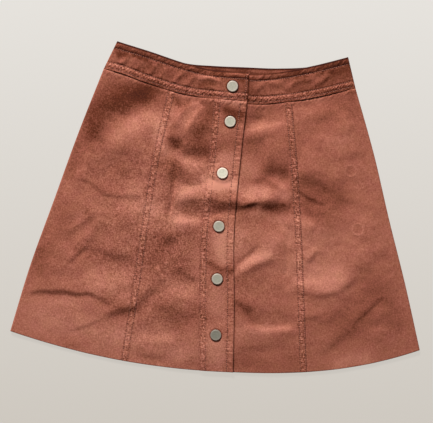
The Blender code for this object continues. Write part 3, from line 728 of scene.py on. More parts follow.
def band_top(x_at_seam, up, is_left):
    """X, Y and Z of the outer face of a front waistband, and its tone."""
    x, y, low, high = band_point(x_at_seam, up, FRONT_TOP)
    inside = np.minimum(x_at_seam - AT_WAIST[LEFT], AT_WAIST[RIGHT] - x_at_seam)
    free = ease(SNAP_FLAT, SNAP_REACH, from_snaps(x, y))
    puff = PUFF * free * mix(0.7, 1.0, ease(0.0, 0.010, low)) * ease(-0.002, 0.009, high)
    z = 2.0 * FOLD_RADIUS + (BAND_LIFT + puff) * closing(x_at_seam, 0.0)
    wrinkled = np.maximum(band_wrinkles(x, y, low, high), BAND_LOWEST)
    z = z + ease(0.002, 0.014, inside) * free * (BAND_LIFT + wrinkled)
    sewing = band_sewing(x, low, high) * ease(0.001, 0.006, inside)
    outline = mix(0.60, 1.0, ease(0.060, 0.090, np.abs(x - 0.010)))     # fainter where the back band shows
    tone = band_tone(x, y, low, high, outline)
    if is_left:
        end = AT_WAIST[EDGE] - x_at_seam
        mound = SNAPS[0][2] - GAP - 2.0 * FOLD_RADIUS - BAND_LIFT - BAND_STEP
        z = z + BAND_STEP * ease(-0.0005, 0.0060, x_at_seam - AT_WAIST[PLACKET_SEAM]) + mound * (1.0 - free)
        sewing = (sewing + stitched(end, (BAND_END_ROW,))) * beside_cap(x, y)
        tone = tone + sewn_tone(x, y, end, (BAND_END_ROW,)) + cap_shadow(x, y)
    else:
        beside = x_at_seam - AT_WAIST[EDGE]
        y = y - slip_share(beside) * mix(SLIP_SEAM, SLIP_TOP, up)
        # painted shade beside the end of the left waistband
        tone = tone + EDGE_SHADE_TONE * bump(beside - 0.0006, 0.0015)
    return x, y, z + sewing, tone


# ---- Sheets: grids of columns and rows, each with how full the cloth is there ----

# A column lies at a share of the way between two places, each a named line and a shift to its right
Column = namedtuple("Column", "first last share full")
Row = namedtuple("Row", "down full")


def place_x(place, down):
    """X of a place at a share of the way down."""
    name, shift = place
    return line(name, down) + shift


def column_x(column, down):
    return mix(place_x(column.first, down), place_x(column.last, down), column.share)


def even(first, last, spacing, down=1.0):
    """Full columns at even steps between two places, and on both."""
    width = place_x(last, down) - place_x(first, down)
    count = max(round(float(width) / spacing), 1)
    return [Column(first, last, index / count, 1.0) for index in range(count + 1)]


def left_to_right(columns, inward):
    """Columns that were made from an edge in."""
    return columns if inward > 0.0 else columns[::-1]


def rounded_columns(name, shift, inward, radius):
    """Columns round an edge of a sheet, which lies to the right of that edge if inward is above zero."""
    places = [(name, shift + inward * radius * (1.0 - math.cos(turn))) for turn in ROUND_TURNS]
    columns = [Column(place, place, 0.0, math.sin(turn)) for place, turn in zip(places, ROUND_TURNS)]
    return left_to_right(columns, inward)


def seam_columns(name, inward):
    """The same at an edge that is sewn to another."""
    return rounded_columns(name, inward * SEAM_HALF, inward, SEAM_ROUND)


def fold_columns(name, inward):
    """Columns round the fold at a side of the skirt."""
    places = [(name, inward * FOLD_RADIUS * (1.0 - math.cos(turn))) for turn in OUTER_TURNS]
    columns = [Column(place, place, 0.0, 1.0 if turn else 0.0) for place, turn in zip(places, OUTER_TURNS)]
    return left_to_right(columns, inward)


def between_folds(clear, spacing, down=1.0):
    """Columns of a sheet from one side of the skirt to the other."""
    middle = even((LEFT, clear), (RIGHT, -clear), spacing, down)
    return fold_columns(LEFT, 1.0) + middle + fold_columns(RIGHT, -1.0)


def rows_between(first_radius, last_radius, length, spacing):
    """Rows from the top of a sheet to its bottom, close together round both edges."""
    first = [Row(first_radius / length * (1.0 - math.cos(turn)), math.sin(turn)) for turn in ROUND_TURNS]
    last = [Row(1.0 - last_radius / length * (1.0 - math.cos(turn)), math.sin(turn)) for turn in ROUND_TURNS]
    start, end = first[-1].down, last[-1].down
    count = round((end - start) * length / spacing)
    middle = [Row(mix(start, end, index / count), 1.0) for index in range(1, count)]
    return first + middle + last[::-1]


def panel_rows(hem_shift=0.0, spacing=ROW):
    start, end = SEAM_HALF / LENGTH, 1.0 - hem_shift / LENGTH
    rows = rows_between(SEAM_ROUND, HEM_ROUND, LENGTH, spacing)
    return [Row(mix(start, end, row.down), row.full) for row in rows]


def band_rows():
    """Rows of the waistband, from its top edge down to the waist seam."""
    rows = rows_between(BAND_ROUND, SEAM_ROUND, BAND_HEIGHT, BAND_ROW)
    return [Row(row.down * (1.0 - SEAM_HALF / BAND_HEIGHT), row.full) for row in rows]


def grids(columns, rows, top, thickness, at_waist=False):
    """Outer and inner points of a sheet, which meet at its edges, and the outer face's tone.

    Columns of the waistband keep the X that they have at the waist seam.
    """
    down = np.array([row.down for row in rows])
    reading = np.zeros(len(rows)) if at_waist else down
    across = np.stack([column_x(column, reading) for column in columns], axis=1)
    down = np.broadcast_to(down[:, None], across.shape)
    full = np.outer([row.full for row in rows], [column.full for column in columns])
    x, y, z, tone = top(across, down)
    thickness = thickness(down) if callable(thickness) else thickness
    middle = z - 0.5 * thickness
    outer = np.stack((x, y, middle + 0.5 * thickness * full), axis=2)
    inner = np.stack((x, y, middle - 0.5 * thickness * full), axis=2)
    return outer, inner, tone


def fold_side(outer, inner, side, shift, thickness):
    """Bends the columns at one side of a sheet down or up to its side seam, at the fold's middle."""
    inward, edge = (1.0, outer[:, 0, 0]) if side == LEFT else (-1.0, outer[:, -1, 0])
    middle, inside = FOLD_RADIUS + shift, FOLD_RADIUS - thickness
    for index, (outer_turn, inner_turn) in enumerate(zip(OUTER_TURNS, INNER_TURNS)):
        column = index if inward > 0.0 else -1 - index
        outer[:, column, 2] = middle + (outer[:, column, 2] - middle) * math.sin(outer_turn)
        inner[:, column, 2] = middle + (inner[:, column, 2] - middle) * math.sin(inner_turn)
        if index:
            inner[:, column, 0] = edge + inward * (thickness + inside * (1.0 - math.cos(inner_turn)))


def make_mesh(name, points, faces, material):
    data = bpy.data.meshes.new(name)
    data.from_pydata(points.tolist(), [], faces)
    data.materials.append(material)
    data.shade_smooth()
    piece = bpy.data.objects.new(name, data)
    bpy.context.scene.collection.objects.link(piece)
    return piece


def add_values(piece, name, values):
    """One number for each point of a mesh, which its material reads."""
    attribute = piece.data.attributes.new(name, "FLOAT", "POINT")
    attribute.data.foreach_set("value", np.asarray(values, np.float32).ravel())


def quads(index):
    """Faces of a grid of point numbers, facing up where rows go down and columns go right."""
    return np.stack((index[:-1, :-1], index[1:, :-1], index[1:, 1:], index[:-1, 1:]), axis=2).reshape(-1, 4)


def make_sheet(name, node, outer, inner, tone, material, up=True):
    """A closed sheet from its outer and inner grids, which stands for a CAD node."""
    rows, columns = outer.shape[:2]
    outer_index = np.arange(rows * columns).reshape(rows, columns)
    inner_index = outer_index.copy()
    inside = np.arange((rows - 2) * (columns - 2)).reshape(rows - 2, columns - 2)
    inner_index[1:-1, 1:-1] = rows * columns + inside
    points = np.concatenate((outer.reshape(-1, 3), inner[1:-1, 1:-1].reshape(-1, 3)))
    faces = np.concatenate((quads(outer_index), quads(inner_index)[:, ::-1]))
    piece = make_mesh(name, points, (faces if up else faces[:, ::-1]).tolist(), material)
    # the tone, plus painted light and shade from how the cloth slopes towards the lamp
    nap_and_painted_shading = tone + LIT_SLOPE_TONE * lean(outer)
    add_values(piece, "nap_and_painted_shading", np.concatenate((nap_and_painted_shading.ravel(), nap_and_painted_shading[1:-1, 1:-1].ravel())))
    add_values(piece, "grain", grain(points))
    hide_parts(node)
    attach(piece, "root")
    return piece


# ---- Panels ----

def hem_thickness(down):
    return mix(CLOTH, HEM, ease(1.0 - HEM_DEPTH / LENGTH, 1.0 - 0.85 * HEM_DEPTH / LENGTH, down))


def build_panel(name, columns, top, material, fold=None):
    """A front panel, with a fold at the side of the skirt that is named."""
    outer, inner, tone = grids(columns, panel_rows(), top, hem_thickness)
    if fold is not None:
        fold_side(outer, inner, fold, FOLD_SHIFT, CLOTH)
    return make_sheet(f"cloth_{name}", name, outer, inner, tone, material)


def build_panels(material):
    columns = fold_columns(LEFT, 1.0) + even((LEFT, FOLD_CLEAR), (LEFT_SEAM, -0.007), COLUMN)
    columns += even((LEFT_SEAM, -0.006), (LEFT_SEAM, -FULL), FINE) + seam_columns(LEFT_SEAM, -1.0)
    side_left = build_panel("front_side_left", columns, panel_top, material, LEFT)

    columns = seam_columns(LEFT_SEAM, 1.0) + even((LEFT_SEAM, FULL), (LEFT_SEAM, FINE_REACH), FINE)
    columns += even((LEFT_SEAM, FINE_REACH + 0.001), (PLACKET_SEAM, -0.006), COLUMN)
    columns += even((PLACKET_SEAM, -0.005), (PLACKET_SEAM, -FULL), FINE) + seam_columns(PLACKET_SEAM, -1.0)
    centre_left = build_panel("front_centre_left", columns, left_top, material)

    columns = rounded_columns(PLACKET_SEAM, UNDERLAP_SHORT, 1.0, FREE_ROUND)
    columns += even((PLACKET_SEAM, UNDERLAP_SHORT + 0.003), (EDGE, -0.003), 2.0 * COLUMN)
    columns += even((EDGE, -0.002), (EDGE, 0.004), FINE)
    columns += even((EDGE, 0.006), (RIGHT_SEAM, -FINE_REACH - 0.001), COLUMN)
    columns += even((RIGHT_SEAM, -FINE_REACH), (RIGHT_SEAM, -FULL), FINE) + seam_columns(RIGHT_SEAM, -1.0)
    centre_right = build_panel("front_centre_right", columns, right_top, material)

    columns = seam_columns(RIGHT_SEAM, 1.0) + even((RIGHT_SEAM, FULL), (RIGHT_SEAM, 0.006), FINE)
    columns += even((RIGHT_SEAM, 0.007), (RIGHT, -FOLD_CLEAR), COLUMN) + fold_columns(RIGHT, -1.0)
    side_right = build_panel("front_side_right", columns, panel_top, material, RIGHT)
    return side_left, centre_left, centre_right, side_right


def build_placket(material):
    columns = seam_columns(PLACKET_SEAM, 1.0)
    columns += even((PLACKET_SEAM, FULL), (EDGE, -FREE_ROUND - FINE), FINE)
    columns += rounded_columns(EDGE, 0.0, -1.0, FREE_ROUND)
    outer, inner, tone = grids(columns, panel_rows(), placket_top, PLACKET)
    return make_sheet("cloth_placket", "placket", outer, inner, tone, material)


def back_surface(x, down):
    """X, Y and Z of the inner face of the back, with shallow dents, and its tone."""
    y = panel_y(x, down)
    return x, y, CLOTH + np.maximum(unevenness(x, y, BACK_UNEVEN), 0.0), np.zeros(x.shape)


def build_back(material):
    rows = panel_rows(hem_shift=BACK_HEM_SHORT, spacing=3.0 * ROW)
    inner, outer, tone = grids(between_folds(BACK_CLEAR, 2.5 * COLUMN), rows, back_surface, CLOTH)
    for side in (LEFT, RIGHT):
        fold_side(outer, inner, side, -FOLD_SHIFT, CLOTH)
    return make_sheet("cloth_back", "back_panel", outer, inner, tone, material, up=False)


# ---- Waistband ----

def build_band(name, node, columns, is_left, material):
    def surface(x_at_seam, down):
        return band_top(x_at_seam, 1.0 - down, is_left)

    outer, inner, tone = grids(columns, band_rows(), surface, FRONT_BAND, at_waist=True)
    fold_side(outer, inner, LEFT if is_left else RIGHT, FOLD_SHIFT, FRONT_BAND)
    return make_sheet(name, node, outer, inner, tone, material)


def back_band_surface(x_at_seam, down):
    """X, Y and Z of the back waistband's inner face, which shows above the front, and its tone."""
    x, y, low, high = band_point(x_at_seam, 1.0 - down, BACK_TOP)
    valleys = stitched(high, (BAND_TOP_ROW,), 0.00035, BAND_ROW_WIDE)
    valleys = valleys + stitched(low, BAND_LOW_ROWS[1:], 0.00035, BAND_ROW_WIDE)
    gathers = 0.5 * np.minimum(pucker(x, high, 0.006, 0.006, 85), 0.0)
    return x, y, BACK_BAND + valleys + gathers, band_tone(x, y, low, high)


def build_back_band(material):
    columns = between_folds(BACK_CLEAR, COLUMN, down=0.0)
    inner, outer, tone = grids(columns, band_rows(), back_band_surface, BACK_BAND, at_waist=True)
    outer[..., 2] = np.clip(outer[..., 2], 0.0, 0.5 * BACK_BAND)
    for side in (LEFT, RIGHT):
        fold_side(outer, inner, side, -FOLD_SHIFT, BACK_BAND)
    return make_sheet("cloth_band_back", "waistband_back", outer, inner, tone, material, up=False)


def build_bands(material):
    columns = fold_columns(LEFT, 1.0)
    columns += even((LEFT, FOLD_CLEAR), (EDGE, -BAND_END_ROUND - FINE), BAND_COLUMN, down=0.0)
    columns += rounded_columns(EDGE, 0.0, -1.0, BAND_END_ROUND)
    left = build_band("cloth_band_left", "waistband_front_left", columns, True, material)

    columns = rounded_columns(PLACKET_SEAM, UNDERLAP_SHORT, 1.0, BAND_END_ROUND)
    columns += even((PLACKET_SEAM, UNDERLAP_SHORT + 0.002), (RIGHT, -FOLD_CLEAR), BAND_COLUMN, down=0.0)
    columns += fold_columns(RIGHT, -1.0)
    right = build_band("cloth_band_right", "waistband_front_right", columns, False, material)
    return left, right, build_back_band(material)


# ---- Stitching ----

# Places along a stitch, from end to end, and how thick its thread is there
STITCH_STATIONS = (
    (-1.0, 0.0), (-0.92, 0.62), (-0.6, 0.95), (0.0, 1.0), (0.6, 0.95), (0.92, 0.62), (1.0, 0.0),
)
STITCH_SIDES = 6
STITCH_SINK = 0.00016       # of its ends into the cloth
HOLE_SIDES = 8
HOLE_LIFT, HOLE_DEPTH, HOLE_EDGE = 0.00008, -0.0004, -0.00002    # Z of its two middles and of its edge
STITCH_TURN, STITCH_STRAY = 0.07, 0.00008   # how unevenly stitches turn and lie
PANEL_POINTS, BAND_POINTS, END_POINTS = 900, 700, 200       # along the rows of stitches


def stitch_template():
    """Points and quads of one stitch along +X and the needle's dent after it, and which points are of that
    dent, which is painted dark as shade.
    """
    points, faces = [], []
    for place, wide in STITCH_STATIONS:
        for side in range(STITCH_SIDES):
            turn = 2.0 * math.pi * side / STITCH_SIDES
            points.append((0.5 * STITCH_LENGTH * place, 0.5 * THREAD * wide * math.cos(turn),
                           0.5 * THREAD * wide * math.sin(turn) - STITCH_SINK * place ** 4))
    for ring in range(len(STITCH_STATIONS) - 1):
        for side in range(STITCH_SIDES):
            here, there = ring * STITCH_SIDES + side, ring * STITCH_SIDES + (side + 1) % STITCH_SIDES
            faces.append((here, there, there + STITCH_SIDES, here + STITCH_SIDES))
    thread = len(points)
    shaded_hole = 0.5 * STITCH_PITCH
    points += [(shaded_hole, 0.0, HOLE_LIFT), (shaded_hole, 0.0, HOLE_DEPTH)]
    for side in range(HOLE_SIDES):
        turn = 2.0 * math.pi * side / HOLE_SIDES
        points.append((shaded_hole + NEEDLE_HOLE * math.cos(turn), NEEDLE_HOLE * math.sin(turn), HOLE_EDGE))
    for side in range(0, HOLE_SIDES, 2):
        ring = [thread + 2 + (side + step) % HOLE_SIDES for step in range(3)]
        faces += [(thread, *ring), (thread + 1, *ring[::-1])]
    return np.array(points), np.array(faces), np.arange(len(points)) >= thread


def unit(vectors):
    return vectors / np.linalg.norm(vectors, axis=1)[:, None]


def stitch_places(points, pitch):
    """Middles and directions of stitches at an even pitch along a line of points."""
    steps = np.linalg.norm(np.diff(points, axis=0), axis=1)
    along = np.concatenate(([0.0], np.cumsum(steps)))
    middles = np.arange(0.6 * pitch, along[-1] - 0.5 * pitch, pitch)
    half = 0.5 * STITCH_LENGTH

    def read(where):
        return np.stack([np.interp(where, along, points[:, axis]) for axis in range(3)], axis=1)

    return read(middles), unit(read(middles + half) - read(middles - half))


def build_stitches(name, lines, material, seed):
    """Rows of stitches along lines of points, as one mesh."""
    template, template_faces, of_shaded_hole = stitch_template()
    rng = np.random.default_rng(seed)
    all_points, all_faces, count = [], [], 0
    for points in lines:
        middles, heading = stitch_places(points, STITCH_PITCH)
        turn = rng.normal(0.0, STITCH_TURN, len(middles))
        aside = unit(np.stack((-heading[:, 1], heading[:, 0], np.zeros(len(heading))), axis=1))
        forward = unit(heading + aside * turn[:, None])
        upward = np.cross(forward, aside)
        upward = np.where(upward[:, 2:] < 0.0, -upward, upward)
        aside = np.cross(upward, forward)
        middles = middles + aside * rng.normal(0.0, STITCH_STRAY, len(middles))[:, None]
        axes = np.stack((forward, aside, upward), axis=1)
        placed = middles[:, None, :] + np.einsum("pk,nkj->npj", template, axes)
        numbers = count + np.arange(len(middles)) * len(template)
        all_points.append(placed.reshape(-1, 3))
        all_faces.append((template_faces[None] + numbers[:, None, None]).reshape(-1, 4))
        count += len(middles) * len(template)
    piece = make_mesh(name, np.concatenate(all_points), np.concatenate(all_faces).tolist(), material)
    add_values(piece, "shaded_hole", np.tile(of_shaded_hole, count // len(template)))
    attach(piece, "root")
    return piece


def on_cloth(x, y, z, _tone):
    """Points of a row of stitches, just over a face of the cloth."""
    return np.stack((x, y, z + THREAD_RISE), axis=1)


def panel_line(column, shift, top):
    """A row of stitches down a panel."""
    down = np.linspace(0.004, 0.995, PANEL_POINTS)
    return on_cloth(*top(line(column, down) + shift, down))


def band_lines(first, last, is_left):
    """The rows of stitches along a front waistband: two over its seam and one under its top edge."""
    x_at_seam = np.linspace(first, last, BAND_POINTS)
    height = band_point(x_at_seam, 1.0, FRONT_TOP)[2]
    ups = [row / height for row in BAND_LOW_ROWS] + [1.0 - BAND_TOP_ROW / height]
    return [on_cloth(*band_top(x_at_seam, up, is_left)) for up in ups]


def build_all_stitches(material):
    """Pieces of stitching by name."""
    closing_rows = [panel_line(PLACKET_SEAM, row, placket_top) for row in PLACKET_ROWS]
    closing_rows.append(panel_line(EDGE, -PLACKET_EDGE_ROW, placket_top))
    end = AT_WAIST[EDGE] - 0.001
    band_end = np.full(END_POINTS, AT_WAIST[EDGE] - BAND_END_ROW)
    band_left = band_lines(AT_WAIST[LEFT] + 0.003, end, True)
    band_left.append(on_cloth(*band_top(band_end, np.linspace(0.05, 0.95, END_POINTS), True)))
    rows = {
        "left_seam": [panel_line(LEFT_SEAM, row, left_top) for row in PRINCESS_LEFT_ROWS],
        "right_seam": [panel_line(RIGHT_SEAM, -row, right_top) for row in PRINCESS_RIGHT_ROWS],
        "placket": closing_rows,
        "band_left": band_left,
        "band_right": band_lines(end + 0.003, AT_WAIST[RIGHT] - 0.003, False),
    }
    return {name: build_stitches(f"stitches_{name}", lines, material, seed)
            for seed, (name, lines) in enumerate(rows.items(), start=1)}


# ---- Caps ----

# Radius and height above the underside, in millimetres, from the middle of the face to the end of the barrel
CAP_PROFILE = MM * np.array((
    (0.00, 1.68), (2.50, 1.68), (4.80, 1.69), (5.80, 1.72), (6.25, 1.76), (6.60, 1.79),
    (7.00, 1.80), (7.38, 1.75), (7.68, 1.58), (7.85, 1.30), (7.90, 0.95), (7.86, 0.60),
    (7.72, 0.30), (7.40, 0.08), (6.80, 0.00), (1.60, 0.00), (1.60, -2.00), (0.00, -2.00),
))
CAP_STEPS = 96
CAP_TONES = (0.96, 1.10, 1.62, 0.92, 0.88, 0.52)    # how bright each is made, the waistband's first


def cap_mesh():
    """Points and faces of a cap, turned round its profile."""
    turns = 2.0 * math.pi * np.arange(CAP_STEPS) / CAP_STEPS
    radius, height = CAP_PROFILE[1:-1].T
    ring = np.stack((np.outer(radius, np.cos(turns)), np.outer(radius, np.sin(turns)),
                     np.repeat(height[:, None], CAP_STEPS, axis=1)), axis=2)
    ends = [(0.0, 0.0, CAP_PROFILE[end, 1]) for end in (0, -1)]
    points = np.concatenate((ring.reshape(-1, 3), ends))
    index = np.arange(len(radius) * CAP_STEPS).reshape(len(radius), CAP_STEPS)
    index = np.concatenate((index, index[:, :1]), axis=1)
    top, bottom = len(points) - 2, len(points) - 1
    faces = quads(index).tolist()
    faces += [(top, int(a), int(b)) for a, b in zip(index[0, :-1], index[0, 1:])]
    faces += [(bottom, int(b), int(a)) for a, b in zip(index[-1, :-1], index[-1, 1:])]
    return points, faces


def build_caps(material):
    points, faces = cap_mesh()
    rim = ease(0.0052, 0.0066, np.hypot(points[:, 0], points[:, 1]))
    for number, (place, tone) in enumerate(zip(SNAPS, CAP_TONES), start=1):
        piece = make_mesh(f"cap_{number}", points + place, faces, material)
        add_values(piece, "rim", rim)
        add_values(piece, "bright", np.full(len(points), tone))
        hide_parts(f"snap_cap_{number}")
        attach(piece, "root")


# ---- Materials ----

def new_material(name):
    material = bpy.data.materials.new(name)
    material.use_nodes = True
    return material, material.node_tree, material.node_tree.nodes["Principled BSDF"]


def feed(tree, value, socket):
    """Gives an input a constant, or what another node puts out."""
    if isinstance(value, bpy.types.NodeSocket):
        tree.links.new(value, socket)
    else:
        socket.default_value = value


def add_node(tree, kind, inputs, **settings):
    node = tree.nodes.new(kind)
    for setting, value in settings.items():
        setattr(node, setting, value)
    for key, value in inputs.items():
        feed(tree, value, node.inputs[key])
    return node


def add_place(tree):
    """The place of each point in its piece's own frame."""
    return add_node(tree, "ShaderNodeTexCoord", {}).outputs["Object"]


def add_reading(tree, name):
    """A number that the mesh has at each of its points."""
    return add_node(tree, "ShaderNodeAttribute", {}, attribute_name=name).outputs["Fac"]


def add_math(tree, operation, *values):
    return add_node(tree, "ShaderNodeMath", dict(enumerate(values)), operation=operation).outputs[0]


def add_noise(tree, place, scale, detail=2.0, roughness=0.5):
    inputs = {"Vector": place, "Scale": scale, "Detail": detail, "Roughness": roughness}
    return add_node(tree, "ShaderNodeTexNoise", inputs).outputs["Fac"]


def add_slubs(tree, place, stretch):
    """Noise drawn out along the threads that run one way."""
    place = add_node(tree, "ShaderNodeMapping", {"Vector": place, "Scale": stretch}).outputs["Vector"]
    return add_noise(tree, place, 1.0, detail=1.0)


def add_weave(tree, place, turn, period):
    """Bands of a twill at an angle, as a value from 0 to 1."""
    turned = {"Vector": place, "Rotation": (0.0, 0.0, math.radians(turn))}
    place = add_node(tree, "ShaderNodeMapping", turned).outputs["Vector"]
    inputs = {"Vector": place, "Scale": 2.0 * math.pi / (20.0 * period), "Distortion": 1.2, "Detail": 2.0,
              "Detail Scale": 1.5}
    return add_node(tree, "ShaderNodeTexWave", inputs, bands_direction="X").outputs["Fac"]


def add_ramp(tree, factor, first, last, *others):
    """A colour for each value of a factor, between places that have a colour each."""
    ramp = add_node(tree, "ShaderNodeValToRGB", {"Fac": factor})
    elements = ramp.color_ramp.elements
    elements[0].position, elements[0].color = first
    elements[1].position, elements[1].color = last
    for position, colour in others:
        elements.new(position).color = colour
    return ramp.outputs["Color"]


def add_scaled(tree, colour, scale):
    """A colour times a number."""
    inputs = {"Vector": colour, "Scale": scale}
    return add_node(tree, "ShaderNodeVectorMath", inputs, operation="SCALE").outputs["Vector"]


def add_bumps(tree, shader, height, strength, distance):
    """Relief that is too fine for the mesh."""
    inputs = {"Height": height, "Strength": strength, "Distance": distance}
    feed(tree, add_node(tree, "ShaderNodeBump", inputs).outputs["Normal"], shader.inputs["Normal"])


CLOTH_DEEPEST = (0.050, 0.010, 0.006, 1.0)
CLOTH_DARK = (0.125, 0.028, 0.013, 1.0)
CLOTH_MIDDLE = (0.360, 0.110, 0.075, 1.0)
CLOTH_LIGHT = (0.650, 0.255, 0.190, 1.0)
CLOTH_FADED = (0.98, 1.06, 0.93, 1.0)   # what those are multiplied with where the dye has turned browner
CLOTH_TONE = 0.512          # place on that ramp where the cloth is painted neither lighter nor darker
FLECKS = ((600.0, 0.18), (1000.0, 0.36))    # scale and strength of each size
SLUBS = ((300.0, 800.0, 500.0), (800.0, 300.0, 500.0))  # scales along X, Y and Z, for threads each way
SLUB_STRENGTH = 0.42


def add_threads(tree, place, weave):
    """Light and dark threads, flecks and slubs of the twill, about zero."""
    threads = add_math(tree, "MULTIPLY", add_math(tree, "SUBTRACT", weave, 0.5), 0.07)
    parts = [(add_noise(tree, place, scale, 2.0, 0.6), amount) for scale, amount in FLECKS]
    parts += [(add_slubs(tree, place, stretch), SLUB_STRENGTH) for stretch in SLUBS]
    for level, amount in parts:
        threads = add_math(tree, "MULTIPLY_ADD", add_math(tree, "SUBTRACT", level, 0.5), amount, threads)
    return threads


def cloth_material():
    """Brushed twill: tones that carry painted shade and painted light as well as the brushed pile, a fine
    weave and a soft pile.
    """
    material, tree, shader = new_material("cloth_twill")
    place, grain_here = add_place(tree), add_reading(tree, "grain")
    weave = add_weave(tree, place, 38.0, 0.00075)
    threads = add_threads(tree, place, weave)
    cloudy = add_math(tree, "SUBTRACT", add_noise(tree, place, 14.0, 3.0, 0.6), 0.5)
    # the cloth's tone with its painted light and shade, as a place on the ramp
    tone = add_math(tree, "ADD", add_reading(tree, "nap_and_painted_shading"), CLOTH_TONE)
    tone = add_math(tree, "MULTIPLY_ADD", cloudy, 0.12, tone)
    tone = add_math(tree, "MULTIPLY_ADD", threads, grain_here, tone)
    colour = add_ramp(tree, tone, (0.22, CLOTH_DARK), (0.80, CLOTH_LIGHT),
                      (0.5, CLOTH_MIDDLE), (0.0, CLOTH_DEEPEST))
    faded_here = add_math(tree, "MULTIPLY_ADD", add_noise(tree, place, 55.0, 4.0, 0.7), 2.4, -0.7)
    inputs = {"Factor": faded_here, "A": colour, "B": CLOTH_FADED}
    faded = add_node(tree, "ShaderNodeMix", inputs, data_type="RGBA", blend_type="MULTIPLY")
    feed(tree, faded.outputs["Result"], shader.inputs["Base Color"])
    rough = add_math(tree, "MULTIPLY_ADD", add_noise(tree, place, 90.0), -0.14, 0.97)
    feed(tree, rough, shader.inputs["Roughness"])
    relief = add_math(tree, "MULTIPLY_ADD", add_noise(tree, place, 1400.0, 3.0, 0.65), 0.9, weave)
    add_bumps(tree, shader, add_math(tree, "MULTIPLY", relief, grain_here), 0.60, 0.00024)
    shader.inputs["Specular IOR Level"].default_value = 0.10
    shader.inputs["Sheen Weight"].default_value = 0.04
    shader.inputs["Sheen Roughness"].default_value = 0.45
    shader.inputs["Sheen Tint"].default_value = (1.0, 0.72, 0.62, 1.0)
    return material


def thread_material():
    """Sewing thread, with painted shade where it goes into the cloth."""
    material, tree, shader = new_material("thread")
    place = add_place(tree)
    outside = add_math(tree, "SUBTRACT", 1.0, add_reading(tree, "shaded_hole"))
    tone = add_math(tree, "MULTIPLY", add_noise(tree, place, 260.0), outside)
    colour = add_ramp(tree, tone, (0.0, (0.075, 0.013, 0.006, 1.0)), (0.7, (0.560, 0.225, 0.155, 1.0)),
                      (0.3, (0.400, 0.135, 0.088, 1.0)))
    feed(tree, colour, shader.inputs["Base Color"])
    add_bumps(tree, shader, add_weave(tree, place, 30.0, 0.0004), 0.4, 0.0001)
    shader.inputs["Roughness"].default_value = 0.7
    return material


def metal_material(name, dark, light, roughness, metallic):
    """Matt metal with a faint brushed grain and small marks."""
    material, tree, shader = new_material(name)
    place = add_place(tree)
    colour = add_ramp(tree, add_noise(tree, place, 420.0, 4.0, 0.7), (0.30, dark), (0.70, light))
    feed(tree, colour, shader.inputs["Base Color"])
    rough = add_math(tree, "MULTIPLY_ADD", add_noise(tree, place, 900.0, 3.0), 0.18, roughness - 0.09)
    feed(tree, rough, shader.inputs["Roughness"])
    add_bumps(tree, shader, add_noise(tree, place, 1600.0, 3.0), 0.25, 0.00008)
    shader.inputs["Metallic"].default_value = metallic
    return material, tree, shader, colour


def pewter_material():
    """Pewter caps with a paler, rubbed rim, each more or less bright."""
    dark, light, rim = (0.43, 0.42, 0.33, 1.0), (0.58, 0.56, 0.46, 1.0), (0.60, 0.53, 0.44, 1.0)
    material, tree, shader, colour = metal_material("pewter", dark, light, 0.50, 0.25)
    inputs = {"Factor": add_reading(tree, "rim"), "A": colour, "B": rim}
    paler = add_node(tree, "ShaderNodeMix", inputs, data_type="RGBA")
    toned = add_scaled(tree, paler.outputs["Result"], add_reading(tree, "bright"))
    feed(tree, toned, shader.inputs["Base Color"])
    return material


def finish_hidden_metal():
    """The sockets, studs and posts keep their CAD shape."""
    dark, light = (0.42, 0.42, 0.40, 1.0), (0.62, 0.61, 0.58, 1.0)
    steel = metal_material("snap_steel", dark, light, 0.35, 1.0)[0]
    for name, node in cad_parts.items():
        if name.startswith(("snap_socket", "snap_stud", "snap_post")):
            node.data.materials.clear()
            node.data.materials.append(steel)


# ---- Floor, light and camera ----

FLOOR_SIZE = 24.0
FLOOR_DROP = 0.00005        # under the skirt
FLOOR_GLOW = 0.90           # how much of the floor's brightness it gives off itself, a painted glow that keeps shadows faint
FLOOR_SHADE = 0.8           # length over which it goes from its near to its far colour
# The floor's colour, darker towards -Y and lighter towards the lamp at +Y: painted falloff of its light
FLOOR_NEAR = (0.605, 0.565, 0.510, 1.0)
FLOOR_FAR = (0.80, 0.777, 0.740, 1.0)
KEY_PLACE, KEY_SIZE, KEY_POWER = (-1.18, 3.63, 2.385), 0.6, 318.0
KEY_COLOUR = (1.0, 0.985, 0.96)
SKY_COLOUR, SKY_STRENGTH = (1.0, 0.93, 0.89, 1.0), 0.15
VIEW_MIDDLE = (-0.00765, -0.00365)
VIEW_TURN = math.radians(3.0)
VIEW_HEIGHT = 1.6           # of the camera over the cloth's face
VIEW_WIDTH = 0.62785        # what it sees across at that distance
VIEW_LEVEL = 0.004          # of the cloth's face over the floor
SENSOR = 36.0


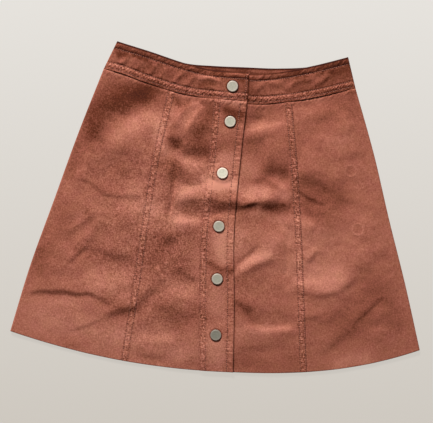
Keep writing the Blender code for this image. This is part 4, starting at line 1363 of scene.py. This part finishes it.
def build_floor():
    bpy.ops.mesh.primitive_plane_add(size=FLOOR_SIZE, location=(0.0, 0.0, -FLOOR_DROP))
    floor = bpy.context.object
    floor.name = "floor"
    material, tree, shader = new_material("floor")
    split = add_node(tree, "ShaderNodeSeparateXYZ", {"Vector": add_place(tree)})
    along = add_math(tree, "MULTIPLY_ADD", split.outputs["Y"], 1.0 / FLOOR_SHADE, 0.5)
    colour = add_ramp(tree, along, (0.0, FLOOR_NEAR), (1.0, FLOOR_FAR))
    feed(tree, add_scaled(tree, colour, 1.0 - FLOOR_GLOW), shader.inputs["Base Color"])
    # the floor glows with painted light, so shadows on it stay faint
    feed(tree, colour, shader.inputs["Emission Color"])
    shader.inputs["Emission Strength"].default_value = FLOOR_GLOW
    shader.inputs["Roughness"].default_value = 0.9
    shader.inputs["Specular IOR Level"].default_value = 0.1
    floor.data.materials.append(material)


def build_lights():
    """A soft lamp that looks at the middle of the skirt, in a faintly lit room."""
    data = bpy.data.lights.new("key", "AREA")
    data.shape = "DISK"
    data.size = KEY_SIZE
    data.energy = KEY_POWER
    data.color = KEY_COLOUR
    light = bpy.data.objects.new("key", data)
    light.location = KEY_PLACE
    x, y, z = KEY_PLACE
    light.rotation_euler = (math.atan2(math.hypot(x, y), z), 0.0, math.atan2(x, -y))
    bpy.context.scene.collection.objects.link(light)
    world = bpy.data.worlds.new("studio")
    world.use_nodes = True
    background = world.node_tree.nodes["Background"]
    background.inputs["Color"].default_value = SKY_COLOUR
    background.inputs["Strength"].default_value = SKY_STRENGTH
    bpy.context.scene.world = world


def build_camera():
    data = bpy.data.cameras.new("camera")
    data.sensor_width = SENSOR
    data.lens = SENSOR * VIEW_HEIGHT / VIEW_WIDTH
    camera = bpy.data.objects.new("camera", data)
    camera.location = (*VIEW_MIDDLE, VIEW_HEIGHT + VIEW_LEVEL)
    camera.rotation_euler = (0.0, 0.0, VIEW_TURN)
    bpy.context.scene.collection.objects.link(camera)
    bpy.context.scene.camera = camera


# ---- Making it ----


def build():
    cloth = cloth_material()
    back = build_back(cloth)
    side_left, centre_left, centre_right, side_right = build_panels(cloth)
    placket = build_placket(cloth)
    band_left, band_right, band_back = build_bands(cloth)
    stitches = build_all_stitches(thread_material())
    build_caps(pewter_material())
    finish_hidden_metal()
    build_floor()
    build_lights()
    build_camera()
    bpy.context.scene.view_settings.view_transform = "Standard"


build()
